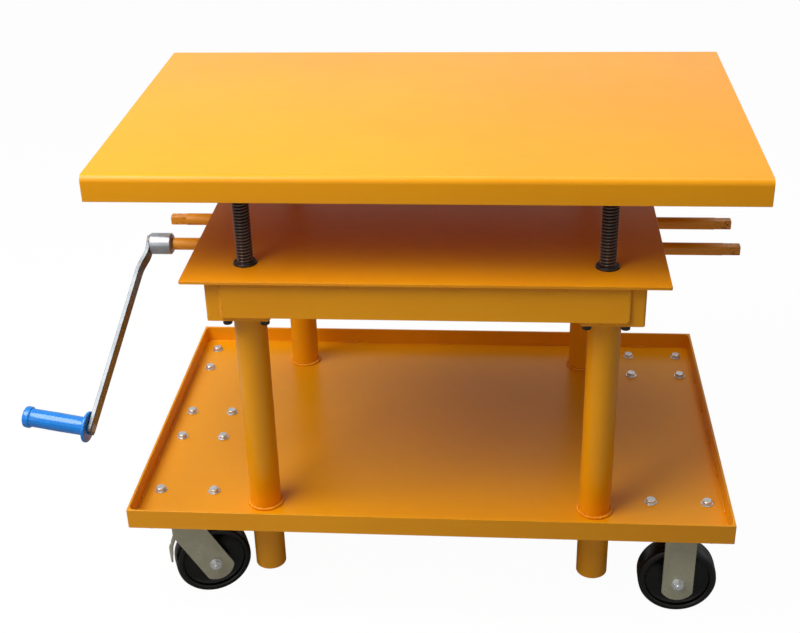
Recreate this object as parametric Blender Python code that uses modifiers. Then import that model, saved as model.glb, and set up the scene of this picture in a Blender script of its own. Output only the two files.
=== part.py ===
"""Mobile mechanical post lift table.

A pressed deck stands on four screws that don't turn. Each screw runs down through a
turning nut in the top frame and into a leg tube. A roller chain ties the four nuts to
two upright jackshafts, and each jackshaft is driven through a bevel pair by a crank
shaft that crosses the frame. The legs stand in a tray on two swivel casters with brakes
at the left and two rigid casters at the right, with a floor lock between the left pair.

Metres, +Z up, X along the table, Y to the back. Sizes are laid out from the middle of
the four legs, and one empty moves the whole table so that the origin lies on the floor
under the middle of its outline, crank included.
"""
import math

import bmesh
import bpy
from mathutils import Matrix, Vector

# Top frame, which the posts, the deck, the tray and the shafts follow
FRAME_LENGTH = 0.817
FRAME_DEPTH = 0.728
FRAME_BOTTOM = 0.6855
END_SHEET = 0.0063
END_RETURN = 0.052
BAR_THICKNESS = 0.006
BAR_END_GAP = 0.0325
BAR_LENGTH = FRAME_LENGTH - 2 * BAR_END_GAP
POST_INSET_X = 0.0685
POST_INSET_Y = 0.0666
LEG_BOLT_SPACING = 0.072
PAD_THICKNESS = 0.0095
PAD_MARGIN = 0.0114
PAD_REACH = POST_INSET_X + LEG_BOLT_SPACING / 2 + PAD_MARGIN
PAD_CHAMFER = 0.014
PLATE_OVERHANG_X = 0.0425
PLATE_OVERHANG_Y = 0.017
PLATE_LENGTH = FRAME_LENGTH + 2 * PLATE_OVERHANG_X
PLATE_DEPTH = FRAME_DEPTH + 2 * PLATE_OVERHANG_Y
PLATE_TOP = 0.7762
PLATE_THICKNESS = 0.00635
PLATE_CORNER = 0.003

# Deck
DECK_OVERHANG = 0.2011
DECK_LENGTH = FRAME_LENGTH + 2 * DECK_OVERHANG
DECK_DEPTH = PLATE_DEPTH
DECK_TOP = 0.984
DECK_SHEET = 0.0048
DECK_BEND = 0.013
SKIRT = 0.0508
RAIL_WIDTH = 0.066
RAIL_HEIGHT = 0.038
RAIL_SHEET = 0.0048
RAIL_END_GAP = 0.012

# Lift posts
POST_X = FRAME_LENGTH / 2 - POST_INSET_X
POST_Y = FRAME_DEPTH / 2 - POST_INSET_Y
SCREW_DIAMETER = 0.03175
SCREW_BOTTOM = 0.232
SCREW_CHAMFER = 0.003

# Legs
LEG_DIAMETER = 0.0635
LEG_WALL = 0.0048
LEG_BOTTOM = 0.0705
FLANGE_MARGIN = 0.0115
FLANGE_SIZE = LEG_BOLT_SPACING + 2 * FLANGE_MARGIN
FLANGE_THICKNESS = 0.0095
FLANGE_CORNER = 0.008
POST_BORE = 0.036
LEG_BOLT_DIAMETER = 0.012

# Nuts, sprockets and chain
NUT_BORE_CLEARANCE = 0.0003
NUT_FOOT = 0.062
NUT_FOOT_HEIGHT = 0.008
NUT_BODY = 0.056
NUT_COLLAR = 0.0444
NUT_COLLAR_RISE = 0.004
COLLAR_CLEARANCE = 0.0006
BEARING_DIAMETER = 0.060
BEARING_HEIGHT = 0.013
BEARING_WAIST = 0.0025
CHAIN_PITCH = 0.015875
CHAIN_ROLLER = 0.01016
CHAIN_INNER_WIDTH = 0.0094
CHAIN_SIDE = 0.004
CHAIN_PLATE_HEIGHT = 0.015
CHAIN_HEIGHT = 0.7478
CHAIN_ARC_STEP = math.radians(20)
NUT_TEETH = 16
DRIVE_TEETH = 12
SPROCKET_THICKNESS = 0.0088

# Crank shafts and bevel drive
SHAFT_Y = 0.0635
SHAFT_Z = 0.7053
SHAFT_DIAMETER = 0.0254
SHAFT_REACH_LEFT = 0.164
SHAFT_REACH_RIGHT = 0.213
SHAFT_LEFT = FRAME_LENGTH / 2 + SHAFT_REACH_LEFT
SHAFT_RIGHT = FRAME_LENGTH / 2 + SHAFT_REACH_RIGHT
SQUARE_SIZE = 0.01905
SQUARE_LENGTH = 0.034
SHAFT_CLEARANCE = 0.0003
GEAR_MODULE = 0.00275
PINION_TEETH = 16
FAST_GEAR_TEETH = 16
SLOW_GEAR_TEETH = 32
GEAR_FACE = 0.008
PINION_HUB = 0.036
PINION_HUB_LENGTH = 0.014
JACKSHAFT_DIAMETER = 0.019
JACK_HUB = 0.030
CROSSBAR_X = 0.056
CROSSBAR_THICKNESS = 0.008
SHELF_LEFT = -0.026
SHELF_HALF_DEPTH = 0.090
SHELF_THICKNESS = 0.0065
SHELF_CLEARANCE = 0.0038
BAR_DROP = 0.012

# Crank
CRANK_SWING = math.radians(52)
HUB_DIAMETER = 0.04445
HUB_CAP = 0.0155
HUB_LAP = 0.0315
HUB_LEFT = SHAFT_LEFT + HUB_CAP
HUB_RIGHT = SHAFT_LEFT - HUB_LAP
HUB_CHAMFER = 0.002
ARM_WIDTH = 0.030
ARM_THICKNESS = 0.008
ARM_BEND_X = 0.0155
ARM_BEND_RADIUS = 0.057
ARM_END_X = 0.068
ARM_END_RADIUS = 0.408
ARM_TIP = 0.012
ARM_LAP = 0.012
ARM_STRAIGHT = 0.024
ARM_SINK = 0.002
GRIP_DIAMETER = 0.0375
GRIP_LENGTH = 0.134
GRIP_FLANGE = 0.062
GRIP_FLANGE_WIDTH = 0.007
GRIP_COLLAR = 0.043
GRIP_COLLAR_WIDTH = 0.012
SPINDLE_DIAMETER = 0.012
SPINDLE_HEAD = 0.018
SPINDLE_HEAD_HEIGHT = 0.003
SPINDLE_SHORT = 0.008

# Tray
TRAY_LENGTH = DECK_LENGTH
TRAY_OVERHANG = 0.02925
TRAY_DEPTH = FRAME_DEPTH + 2 * TRAY_OVERHANG
TRAY_BOTTOM = 0.218
TRAY_FLOOR = 0.00635
RIM_HEIGHT = 0.0432
RIM_WALL = 0.0048
RIM_CORNER = 0.012
BOLT_DIAMETER = 0.0111

# Casters
CASTER_INSET_X = 0.0961
CASTER_INSET_FRONT = 0.07825
CASTER_INSET_BACK = 0.10125
CASTER_X = TRAY_LENGTH / 2 - CASTER_INSET_X
CASTER_FRONT_Y = CASTER_INSET_FRONT - TRAY_DEPTH / 2
CASTER_BACK_Y = TRAY_DEPTH / 2 - CASTER_INSET_BACK
CASTER_BOLTS_X = 0.1143
CASTER_BOLTS_Y = 0.0921
MOUNT_MARGIN = 0.0145
MOUNT_CORNER = 0.010
CASTER_PLATE = 0.006
WHEEL_DIAMETER = 0.160
WHEEL_WIDTH = 0.0508
WHEEL_SHOULDER = 0.006
WHEEL_FACE = 0.0115
WHEEL_RECESS = 0.009
HUB_RADIUS = 0.024
HUB_WIDTH = 0.055
AXLE_DIAMETER = 0.0127
AXLE_HEAD_ACROSS = 0.019
AXLE_HEAD_HEIGHT = 0.008
FORK_STRAP = 0.0635
FORK_SHEET = 0.005
FORK_GAP = 0.059
FORK_BEND = 0.009
FORK_END_RADIUS = 0.043
SWIVEL_TRAIL = 0.050
SWIVEL_TURN = math.radians(22)
SWIVEL_HEAD = 0.082
SWIVEL_HEAD_HEIGHT = 0.012
SWIVEL_CROWN = 0.0215
KINGPIN = 0.026
BRAKE_PIVOT_X = -0.020
BRAKE_PIVOT_Z = 0.160
BRAKE_LINE = ((0.0, 0.0), (-0.030, -0.012), (-0.054, -0.017), (-0.075, -0.0175))
BRAKE_PAD = 0.040
BRAKE_ARM = 0.018
BRAKE_SHEET = 0.003
BRAKE_PIN = 0.007
BRAKE_EYE = 0.008

# Floor lock
LOCK_OFFSET = 0.0107
LOCK_X = -CASTER_X - LOCK_OFFSET
LOCK_Y = -0.010
LOCK_BOLTS_X = 0.0932
LOCK_BOLTS_Y = 0.105
LOCK_PLATE = 0.005
LOCK_CHEEK_GAP = 0.044
LOCK_CHEEK = 0.005
LOCK_CHEEK_WIDTH = 0.100
LOCK_CHEEK_BOTTOM = 0.112
LOCK_GUIDE = 0.036
LOCK_GUIDE_BOTTOM = 0.098
LOCK_STEM = 0.024
LOCK_FOOT = 0.056
LOCK_FOOT_THICKNESS = 0.014
LOCK_FOOT_CLEARANCE = 0.018
LOCK_STEM_TIP = 0.004
LOCK_STEM_CONE = 0.008
LOCK_STEM_PLAY = 0.0025
PEDAL_PIVOT_Z = 0.172
PEDAL_PIVOT_X = 0.040
PEDAL_HUB = 0.0065
PEDAL_PAD_START = 0.128
PEDAL_LENGTH = 0.150
PEDAL_DROP = 0.018
PEDAL_WIDTH = 0.040
PEDAL_SHEET = 0.005

# Fits, cutters and mesh detail
CUT_PAST = 0.010
PIN_REACH = 0.050
SEAT_GAP = 0.0003
WELD_OVERLAP = 0.0005
HOLE_CLEARANCE = 0.0006
MERGE = 0.00001
ROUND = 20
MEDIUM = 16
COARSE = 12
FINE = 6
ARC = 4

# How far the crank's grip reaches from the middle of the legs, to the left and to the front
GRIP_PAST_HUB = 0.2079
GRIP_REACH_LEFT = HUB_LEFT + GRIP_PAST_HUB
GRIP_REACH_FRONT = 0.4148

# Levels that follow from the sizes
DECK_UNDER = DECK_TOP - DECK_SHEET
PLATE_UNDER = PLATE_TOP - PLATE_THICKNESS
FRAME_TOP = PLATE_UNDER - SEAT_GAP
PAD_TOP = FRAME_BOTTOM + PAD_THICKNESS
FLANGE_TOP = FRAME_BOTTOM - SEAT_GAP
FLANGE_BOTTOM = FLANGE_TOP - FLANGE_THICKNESS
BEARING_TOP = PAD_TOP + SEAT_GAP + BEARING_HEIGHT
NUT_BOTTOM = BEARING_TOP + SEAT_GAP
SPROCKET_BOTTOM = CHAIN_HEIGHT - SPROCKET_THICKNESS / 2
TRAY_TOP = TRAY_BOTTOM + TRAY_FLOOR
CASTER_TOP = TRAY_BOTTOM - SEAT_GAP
AXLE_Z = WHEEL_DIAMETER / 2
FORK_OUTER = FORK_GAP / 2 + FORK_SHEET
SWIVEL_Z = CASTER_TOP - CASTER_PLATE - SWIVEL_HEAD_HEIGHT
CROWN_TOP = SWIVEL_Z - SEAT_GAP
NUT_PITCH_RADIUS = CHAIN_PITCH / 2 / math.sin(math.pi / NUT_TEETH)
DRIVE_PITCH_RADIUS = CHAIN_PITCH / 2 / math.sin(math.pi / DRIVE_TEETH)
PINION_RADIUS = GEAR_MODULE * PINION_TEETH / 2
SHELF_LOW = SHAFT_Z + PINION_RADIUS + SHELF_CLEARANCE
SHELF_TOP = SHELF_LOW + SHELF_THICKNESS
ORIGIN_X = (GRIP_REACH_LEFT - SHAFT_RIGHT) / 2
ORIGIN_Y = (GRIP_REACH_FRONT - TRAY_DEPTH / 2) / 2
POSTS = {
    "front_left": (-POST_X, -POST_Y),
    "front_right": (POST_X, -POST_Y),
    "back_left": (-POST_X, POST_Y),
    "back_right": (POST_X, POST_Y),
}
CASTER_Y = {"front": CASTER_FRONT_Y, "back": CASTER_BACK_Y}
SHAFTS = {"front": -SHAFT_Y, "back": SHAFT_Y}

AXIS_X = Matrix(((0, 0, 1), (1, 0, 0), (0, 1, 0))).to_4x4()
AXIS_Y = Matrix(((0, 1, 0), (0, 0, 1), (1, 0, 0))).to_4x4()
HALF_TURN = Matrix.Rotation(math.pi, 4, "Z")


# Scene, materials and small helpers
for old in list(bpy.data.objects):
    bpy.data.objects.remove(old)
parts = bpy.data.collections.new("post_lift_table")
cutters = bpy.data.collections.new("cutters")
for group in (parts, cutters):
    bpy.context.scene.collection.children.link(group)


def make_material(name, colour, roughness, metallic):
    """A Principled material with one colour, roughness and metallic value."""
    material = bpy.data.materials.new(name)
    material.use_nodes = True
    shader = material.node_tree.nodes["Principled BSDF"]
    shader.inputs["Base Color"].default_value = (*colour, 1)
    shader.inputs["Roughness"].default_value = roughness
    shader.inputs["Metallic"].default_value = metallic
    return material


PAINT = make_material("orange_paint", (0.85, 0.36, 0.03), 0.35, 0.0)
BLACK_STEEL = make_material("black_steel", (0.03, 0.03, 0.032), 0.45, 0.9)
ZINC = make_material("zinc_plate", (0.62, 0.64, 0.62), 0.38, 1.0)
BRIGHT_STEEL = make_material("bright_steel", (0.55, 0.56, 0.57), 0.32, 1.0)
BRONZE = make_material("bronze", (0.55, 0.38, 0.16), 0.4, 1.0)
BLUE_PLASTIC = make_material("blue_plastic", (0.02, 0.2, 0.75), 0.25, 0.0)
BLACK_RUBBER = make_material("black_rubber", (0.02, 0.02, 0.02), 0.7, 0.0)


def shade(mesh):
    """Smooth round faces and keep real edges sharp."""
    mesh.shade_smooth()
    mesh.set_sharp_from_angle(angle=math.radians(35))


def clean(mesh):
    """Weld loose caps and point every face outward."""
    bm = bmesh.new()
    bm.from_mesh(mesh)
    bmesh.ops.remove_doubles(bm, verts=bm.verts, dist=MERGE)
    bmesh.ops.recalc_face_normals(bm, faces=bm.faces)
    bm.to_mesh(mesh)
    bm.free()
    return mesh


def evaluated_mesh(source):
    """The mesh of an object with its modifiers, after which the object is removed."""
    bpy.context.scene.collection.objects.link(source)
    evaluated = source.evaluated_get(bpy.context.evaluated_depsgraph_get())
    mesh = bpy.data.meshes.new_from_object(evaluated)
    bpy.data.objects.remove(source)
    return clean(mesh)


def prism(loops, low, high, axis=None):
    """A flat outline with its holes, filled and extruded from low to high.

    The outline is (x, y) for a piece along Z, (y, z) with AXIS_X and (z, x) with AXIS_Y.
    """
    curve = bpy.data.curves.new("outline", "CURVE")
    curve.dimensions = "2D"
    curve.fill_mode = "BOTH"
    curve.extrude = (high - low) / 2
    for loop in loops:
        spline = curve.splines.new("POLY")
        spline.points.add(len(loop) - 1)
        for point, corner in zip(spline.points, loop):
            point.co = (*corner, 0, 1)
        spline.use_cyclic_u = True
    mesh = evaluated_mesh(bpy.data.objects.new("outline", curve))
    mesh.transform(Matrix.Translation((0, 0, (low + high) / 2)))
    if axis is not None:
        mesh.transform(axis)
    return mesh


def turned(profile, steps=ROUND, axis=None, ring=False):
    """A profile of (radius, height), outer side top to bottom, turned round Z."""
    mesh = bpy.data.meshes.new("profile")
    count = len(profile)
    edges = [(i, i + 1) for i in range(count - 1)]
    if ring:
        edges.append((count - 1, 0))
    mesh.from_pydata([(radius, 0, height) for radius, height in profile], edges, [])
    source = bpy.data.objects.new("profile", mesh)
    screw = source.modifiers.new("turn", "SCREW")
    screw.axis = "Z"
    screw.angle = 2 * math.pi
    screw.steps = steps
    screw.render_steps = steps
    screw.use_merge_vertices = True
    screw.merge_threshold = MERGE
    result = evaluated_mesh(source)
    if axis is not None:
        result.transform(axis)
    return result


def cylinder(diameter, low, high, steps=MEDIUM, axis=None, chamfer=0.0):
    """A solid cylinder, with both ends chamfered if a chamfer is given."""
    radius = diameter / 2
    if chamfer:
        profile = [
            (0, high),
            (radius - chamfer, high),
            (radius, high - chamfer),
            (radius, low + chamfer),
            (radius - chamfer, low),
            (0, low),
        ]
    else:
        profile = [(0, high), (radius, high), (radius, low), (0, low)]
    return turned(profile, steps, axis)


def ring_mesh(outer, inner, low, high, steps=ROUND, axis=None):
    """A plain ring between two diameters."""
    profile = [(outer / 2, high), (outer / 2, low), (inner / 2, low), (inner / 2, high)]
    return turned(profile, steps, axis, ring=True)


def circle(x, y, diameter, steps=FINE):
    """Points of a round hole in an outline."""
    return [
        (
            x + diameter / 2 * math.cos(2 * math.pi * i / steps),
            y + diameter / 2 * math.sin(2 * math.pi * i / steps),
        )
        for i in range(steps)
    ]


def rectangle(x_low, x_high, y_low, y_high, corner=0.0, steps=ARC):
    """A rectangle, with round corners if a corner radius is given."""
    if not corner:
        return [(x_low, y_low), (x_high, y_low), (x_high, y_high), (x_low, y_high)]
    centres = (
        (x_high - corner, y_high - corner, 0),
        (x_low + corner, y_high - corner, 1),
        (x_low + corner, y_low + corner, 2),
        (x_high - corner, y_low + corner, 3),
    )
    points = []
    for x, y, quarter in centres:
        points += arc(x, y, corner, quarter * 90, quarter * 90 + 90, steps)
    return points


def arc(x, y, radius, start, end, steps=ARC):
    """Points on an arc between two angles in degrees."""
    angles = [math.radians(start + (end - start) * i / steps) for i in range(steps + 1)]
    return [(x + radius * math.cos(a), y + radius * math.sin(a)) for a in angles]


def hexagon(across, x=0.0, y=0.0):
    """A hexagon by its width across flats."""
    return circle(x, y, across / math.cos(math.pi / 6), 6)


def corners(spacing_x, spacing_y, x=0.0, y=0.0):
    """The four points of a rectangular hole pattern."""
    signs = ((-1, -1), (1, -1), (1, 1), (-1, 1))
    return [(x + i * spacing_x / 2, y + j * spacing_y / 2) for i, j in signs]


def joined(meshes):
    """Several closed meshes as one mesh."""
    bm = bmesh.new()
    for mesh in meshes:
        bm.from_mesh(mesh)
    result = bpy.data.meshes.new("joined")
    bm.to_mesh(result)
    bm.free()
    return result


def moved(mesh, x=0.0, y=0.0, z=0.0):
    """A moved copy of a mesh."""
    copy = mesh.copy()
    copy.transform(Matrix.Translation((x, y, z)))
    return copy


def boolean(mesh, other, operation):
    """A mesh cut by, joined with or limited to another one."""
    tool = bpy.data.objects.new("tool", other)
    tool.hide_render = True
    tool.display_type = "WIRE"
    cutters.objects.link(tool)
    source = bpy.data.objects.new("source", mesh)
    modifier = source.modifiers.new("cut", "BOOLEAN")
    modifier.operation = operation
    modifier.solver = "EXACT"
    modifier.object = tool
    result = evaluated_mesh(source)
    bpy.data.objects.remove(tool)
    return result


def drilled(mesh, places, diameter, steps=FINE):
    """A level plate with a round hole through it at each place."""
    heights = [vertex.co.z for vertex in mesh.vertices]
    drill = cylinder(diameter, min(heights) - diameter, max(heights) + diameter, steps)
    return boolean(mesh, joined([moved(drill, x, y) for x, y in places]), "DIFFERENCE")


table = bpy.data.objects.new("lift_table", None)
table.location = (ORIGIN_X, ORIGIN_Y, 0)
parts.objects.link(table)


def axis_empty(name, location, parent=table, turn=0.0):
    """An empty on a joint's axis, which carries the pieces that move together."""
    empty = bpy.data.objects.new(name, None)
    empty.empty_display_size = 0.05
    empty.location = location
    empty.rotation_euler = (0, 0, turn)
    empty.parent = parent
    parts.objects.link(empty)
    return empty


def add_part(name, mesh, material, parent=table, location=(0, 0, 0), rotation=(0, 0, 0)):
    """One named piece with its own material slot, placed under its parent."""
    mesh.name = name
    mesh.materials.clear()
    mesh.materials.append(material)
    shade(mesh)
    piece = bpy.data.objects.new(name, mesh)
    piece.location = location
    piece.rotation_euler = rotation
    piece.parent = parent
    parts.objects.link(piece)
    return piece


# Deck: pressed sheet with its skirts, cross rails and the four screws
def deck_section(inset):
    """The deck's section in (y, z), with round front and back edges."""
    half = DECK_DEPTH / 2 - inset
    low = DECK_TOP - SKIRT - inset
    top = DECK_TOP - inset
    bend = DECK_BEND - inset
    outline = [(-half, low), (half, low)]
    outline += arc(half - bend, top - bend, bend, 0, 90)
    outline += arc(bend - half, top - bend, bend, 90, 180)
    return outline


def build_deck(carrier):
    half_length = DECK_LENGTH / 2
    block = prism([deck_section(0.0)], -half_length, half_length, AXIS_X)
    inner_length = half_length - DECK_SHEET
    hollow = prism([deck_section(DECK_SHEET)], -inner_length, inner_length, AXIS_X)
    add_part("deck", boolean(block, hollow, "DIFFERENCE"), PAINT, carrier)

    rail_top = DECK_UNDER - SEAT_GAP
    rail_low = rail_top - RAIL_HEIGHT
    half = RAIL_WIDTH / 2
    section = [
        (rail_low, -half),
        (rail_low, half),
        (rail_top, half),
        (rail_top, half - RAIL_SHEET),
        (rail_low + RAIL_SHEET, half - RAIL_SHEET),
        (rail_low + RAIL_SHEET, RAIL_SHEET - half),
        (rail_top, RAIL_SHEET - half),
        (rail_top, -half),
    ]
    reach = DECK_DEPTH / 2 - DECK_BEND - RAIL_END_GAP
    rail = prism([section], -reach, reach, AXIS_Y)
    bore = SCREW_DIAMETER + 2 * SEAT_GAP
    holes = [cylinder(bore, rail_low - CUT_PAST, rail_top, ROUND) for _ in range(2)]
    holes = [moved(hole, y=y) for hole, y in zip(holes, (-POST_Y, POST_Y))]
    rail = boolean(rail, joined(holes), "DIFFERENCE")
    add_part("deck_rail_left", moved(rail, x=-POST_X), PAINT, carrier)
    add_part("deck_rail_right", moved(rail, x=POST_X), PAINT, carrier)

    screw_top = DECK_UNDER - SEAT_GAP
    screw = cylinder(SCREW_DIAMETER, SCREW_BOTTOM, screw_top, ROUND, chamfer=SCREW_CHAMFER)
    for name, (x, y) in POSTS.items():
        add_part(f"lift_screw_{name}", screw.copy(), BLACK_STEEL, carrier, (x, y, 0))


# Top frame: plate, end plates, front and back bars, corner pads and thrust bearings
def build_top_frame():
    length = PLATE_LENGTH / 2
    depth = PLATE_DEPTH / 2
    collar_hole = NUT_COLLAR + 2 * COLLAR_CLEARANCE
    loops = [rectangle(-length, length, -depth, depth, PLATE_CORNER, 2)]
    loops += [circle(x, y, collar_hole, ROUND) for x, y in POSTS.values()]
    add_part("top_plate", prism(loops, PLATE_UNDER, PLATE_TOP), PAINT)

    outer_x = FRAME_LENGTH / 2
    outer_y = FRAME_DEPTH / 2
    inner_x = outer_x - END_SHEET
    inner_y = outer_y - END_SHEET
    tip = outer_x - END_RETURN
    outline = [
        (outer_x, -outer_y),
        (outer_x, outer_y),
        (tip, outer_y),
        (tip, inner_y),
        (inner_x, inner_y),
        (inner_x, -inner_y),
        (tip, -inner_y),
        (tip, -outer_y),
    ]
    end = prism([outline], FRAME_BOTTOM, FRAME_TOP)
    bore = SHAFT_DIAMETER + 2 * SHAFT_CLEARANCE
    hole = cylinder(bore, inner_x - CUT_PAST, outer_x + CUT_PAST, MEDIUM, AXIS_X)
    holes = [moved(hole, y=y, z=SHAFT_Z) for y in SHAFTS.values()]
    right = boolean(end, joined(holes), "DIFFERENCE")
    for y in (-POST_Y, POST_Y):
        pad = prism([pad_outline(y)], FRAME_BOTTOM, PAD_TOP)
        right = boolean(right, leg_holes(pad, POST_X, y), "UNION")
    left = right.copy()
    left.transform(HALF_TURN)
    add_part("frame_end_right", right, PAINT)
    add_part("frame_end_left", left, PAINT)

    bar_low = PAD_TOP + SEAT_GAP
    bar_face = outer_y + SEAT_GAP
    bar = rectangle(-BAR_LENGTH / 2, BAR_LENGTH / 2, bar_face, bar_face + BAR_THICKNESS)
    back = prism([bar], bar_low, FRAME_TOP)
    front = back.copy()
    front.transform(HALF_TURN)
    add_part("frame_bar_front", front, PAINT)
    add_part("frame_bar_back", back, PAINT)

    waist = BEARING_DIAMETER / 2 - BEARING_WAIST
    outer = BEARING_DIAMETER / 2
    low = PAD_TOP + SEAT_GAP
    third = BEARING_HEIGHT / 3
    profile = [
        (outer, low + BEARING_HEIGHT),
        (outer, low + 2 * third),
        (waist, low + 2 * third),
        (waist, low + third),
        (outer, low + third),
        (outer, low),
        (POST_BORE / 2, low),
        (POST_BORE / 2, low + BEARING_HEIGHT),
    ]
    bearing = turned(profile, COARSE, ring=True)
    for name, (x, y) in POSTS.items():
        add_part(f"thrust_bearing_{name}", bearing.copy(), BRIGHT_STEEL, table, (x, y, 0))


def pad_outline(y):
    """A corner pad in plan at the right end: square outside, chamfered inside."""
    side = math.copysign(1, y)
    far_x = FRAME_LENGTH / 2 - END_SHEET / 2
    far_y = FRAME_DEPTH / 2
    near_x = far_x - PAD_REACH
    near_y = far_y - PAD_REACH
    plan = [
        (far_x, far_y),
        (near_x, far_y),
        (near_x, near_y + PAD_CHAMFER),
        (near_x + PAD_CHAMFER, near_y),
        (far_x, near_y),
    ]
    return [(i, side * j) for i, j in plan]


def leg_holes(plate, x, y):
    """A plate with the post bore and the four bolt holes round a leg."""
    bolt = LEG_BOLT_DIAMETER + 2 * HOLE_CLEARANCE
    plate = drilled(plate, corners(LEG_BOLT_SPACING, LEG_BOLT_SPACING, x, y), bolt)
    return drilled(plate, [(x, y)], POST_BORE, COARSE)


# Legs: tubes that pass through the tray, each with a flange welded on its top
def build_legs():
    bore = LEG_DIAMETER - 2 * LEG_WALL
    tube = ring_mesh(LEG_DIAMETER, bore, LEG_BOTTOM, FLANGE_BOTTOM + WELD_OVERLAP)
    half = FLANGE_SIZE / 2
    plan = rectangle(-half, half, -half, half, FLANGE_CORNER, 1)
    flange = leg_holes(prism([plan], FLANGE_BOTTOM, FLANGE_TOP), 0, 0)
    leg = boolean(tube, flange, "UNION")
    for name, (x, y) in POSTS.items():
        add_part(f"leg_{name}", leg.copy(), PAINT, table, (x, y, 0))


# Drive: nuts, sprockets, chain, jackshafts, bevel pairs and crank shafts
def sprocket_outline(teeth, pitch_radius):
    """A roller chain sprocket in plan, with a gap centred on angle zero."""
    seat = CHAIN_ROLLER / 2 * 1.04
    tip = pitch_radius + CHAIN_ROLLER * 0.34
    step = 2 * math.pi / teeth
    points = []
    for tooth in range(teeth):
        turn = tooth * step
        centre = Vector((math.cos(turn), math.sin(turn))) * pitch_radius
        for angle in (-125, 180, 125):
            reach = turn + math.radians(angle)
            offset = Vector((math.cos(reach), math.sin(reach))) * seat
            points.append(tuple(centre + offset))
        for share in (0.40, 0.60):
            reach = turn + share * step
            points.append((tip * math.cos(reach), tip * math.sin(reach)))
    return points


def sprocket(teeth, pitch_radius, bore):
    """A toothed plate that runs in the chain's plane."""
    loops = [sprocket_outline(teeth, pitch_radius), circle(0, 0, bore, ROUND)]
    return prism(loops, -SPROCKET_THICKNESS / 2, SPROCKET_THICKNESS / 2)


def build_nuts(carriers):
    bore = SCREW_DIAMETER / 2 + NUT_BORE_CLEARANCE
    shoulder = SPROCKET_BOTTOM - SEAT_GAP - NUT_BOTTOM
    foot = NUT_FOOT_HEIGHT
    top = PLATE_TOP + NUT_COLLAR_RISE - NUT_BOTTOM
    profile = [
        (NUT_COLLAR / 2, top),
        (NUT_COLLAR / 2, shoulder),
        (NUT_BODY / 2, shoulder),
        (NUT_BODY / 2, foot),
        (NUT_FOOT / 2, foot),
        (NUT_FOOT / 2, 0),
        (bore, 0),
        (bore, top),
    ]
    nut = turned(profile, ROUND, ring=True)
    wheel = sprocket(NUT_TEETH, NUT_PITCH_RADIUS, NUT_COLLAR + 2 * SEAT_GAP)
    for name, carrier in carriers.items():
        add_part(f"lift_nut_{name}", nut.copy(), BRONZE, carrier)
        height = CHAIN_HEIGHT - NUT_BOTTOM
        add_part(f"nut_sprocket_{name}", wheel.copy(), BLACK_STEEL, carrier, (0, 0, height))


def chain_circles():
    """The wheels that the chain passes, in order, as x, y and signed radius."""
    nut = NUT_PITCH_RADIUS
    drive = DRIVE_PITCH_RADIUS
    return [
        (*POSTS["front_right"], nut),
        (*POSTS["back_right"], nut),
        (0, SHAFT_Y, -drive),
        (*POSTS["back_left"], nut),
        (*POSTS["front_left"], nut),
        (0, -SHAFT_Y, -drive),
    ]


def chain_runs():
    """The straight runs between the wheels, as start, end and direction."""
    wheels = chain_circles()
    runs = []
    for index, (x, y, radius) in enumerate(wheels):
        next_x, next_y, next_radius = wheels[(index + 1) % len(wheels)]
        between = Vector((next_x - x, next_y - y))
        lean = math.asin((radius - next_radius) / between.length)
        ahead = between.normalized()
        left = Vector((-ahead.y, ahead.x))
        direction = ahead * math.cos(lean) + left * math.sin(lean)
        right = Vector((direction.y, -direction.x))
        start = Vector((x, y)) + right * radius
        end = Vector((next_x, next_y)) + right * next_radius
        runs.append((start, end, direction))
    return runs


def chain_side():
    """One row of side plates as a closed band round the whole path."""
    wheels = chain_circles()
    runs = chain_runs()
    half = CHAIN_PLATE_HEIGHT / 2
    inner = []
    outer = []
    for index, (x, y, radius) in enumerate(wheels):
        arrives = runs[index - 1][1] - Vector((x, y))
        leaves = runs[index][0] - Vector((x, y))
        sweep = arrives.angle_signed(leaves) * -1
        steps = max(2, round(abs(sweep) / CHAIN_ARC_STEP))
        side = math.copysign(half, radius)
        for step in range(steps + 1):
            turn = math.atan2(arrives.y, arrives.x) + sweep * step / steps
            ray = Vector((math.cos(turn), math.sin(turn)))
            outer.append(tuple(Vector((x, y)) + ray * (abs(radius) + side)))
            inner.append(tuple(Vector((x, y)) + ray * (abs(radius) - side)))
    low = CHAIN_INNER_WIDTH / 2
    return prism([outer, inner], low, low + CHAIN_SIDE)


def build_chain():
    upper = chain_side()
    lower = moved(upper, z=-CHAIN_INNER_WIDTH - CHAIN_SIDE)
    chain = joined([upper, lower])
    half = CHAIN_ROLLER / 2
    reach = CHAIN_INNER_WIDTH / 2 + CHAIN_SIDE / 2
    cores = []
    for start, end, direction in chain_runs():
        middle = (start + end) / 2
        length = (end - start).length / 2 - 2 * CHAIN_PITCH
        core = prism([rectangle(-length, length, -half, half)], -reach, reach)
        core.transform(Matrix.Rotation(math.atan2(direction.y, direction.x), 4, "Z"))
        cores.append(moved(core, middle.x, middle.y))
    chain = boolean(chain, joined(cores), "UNION")
    add_part("roller_chain", moved(chain, z=CHAIN_HEIGHT), BLACK_STEEL)


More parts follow.
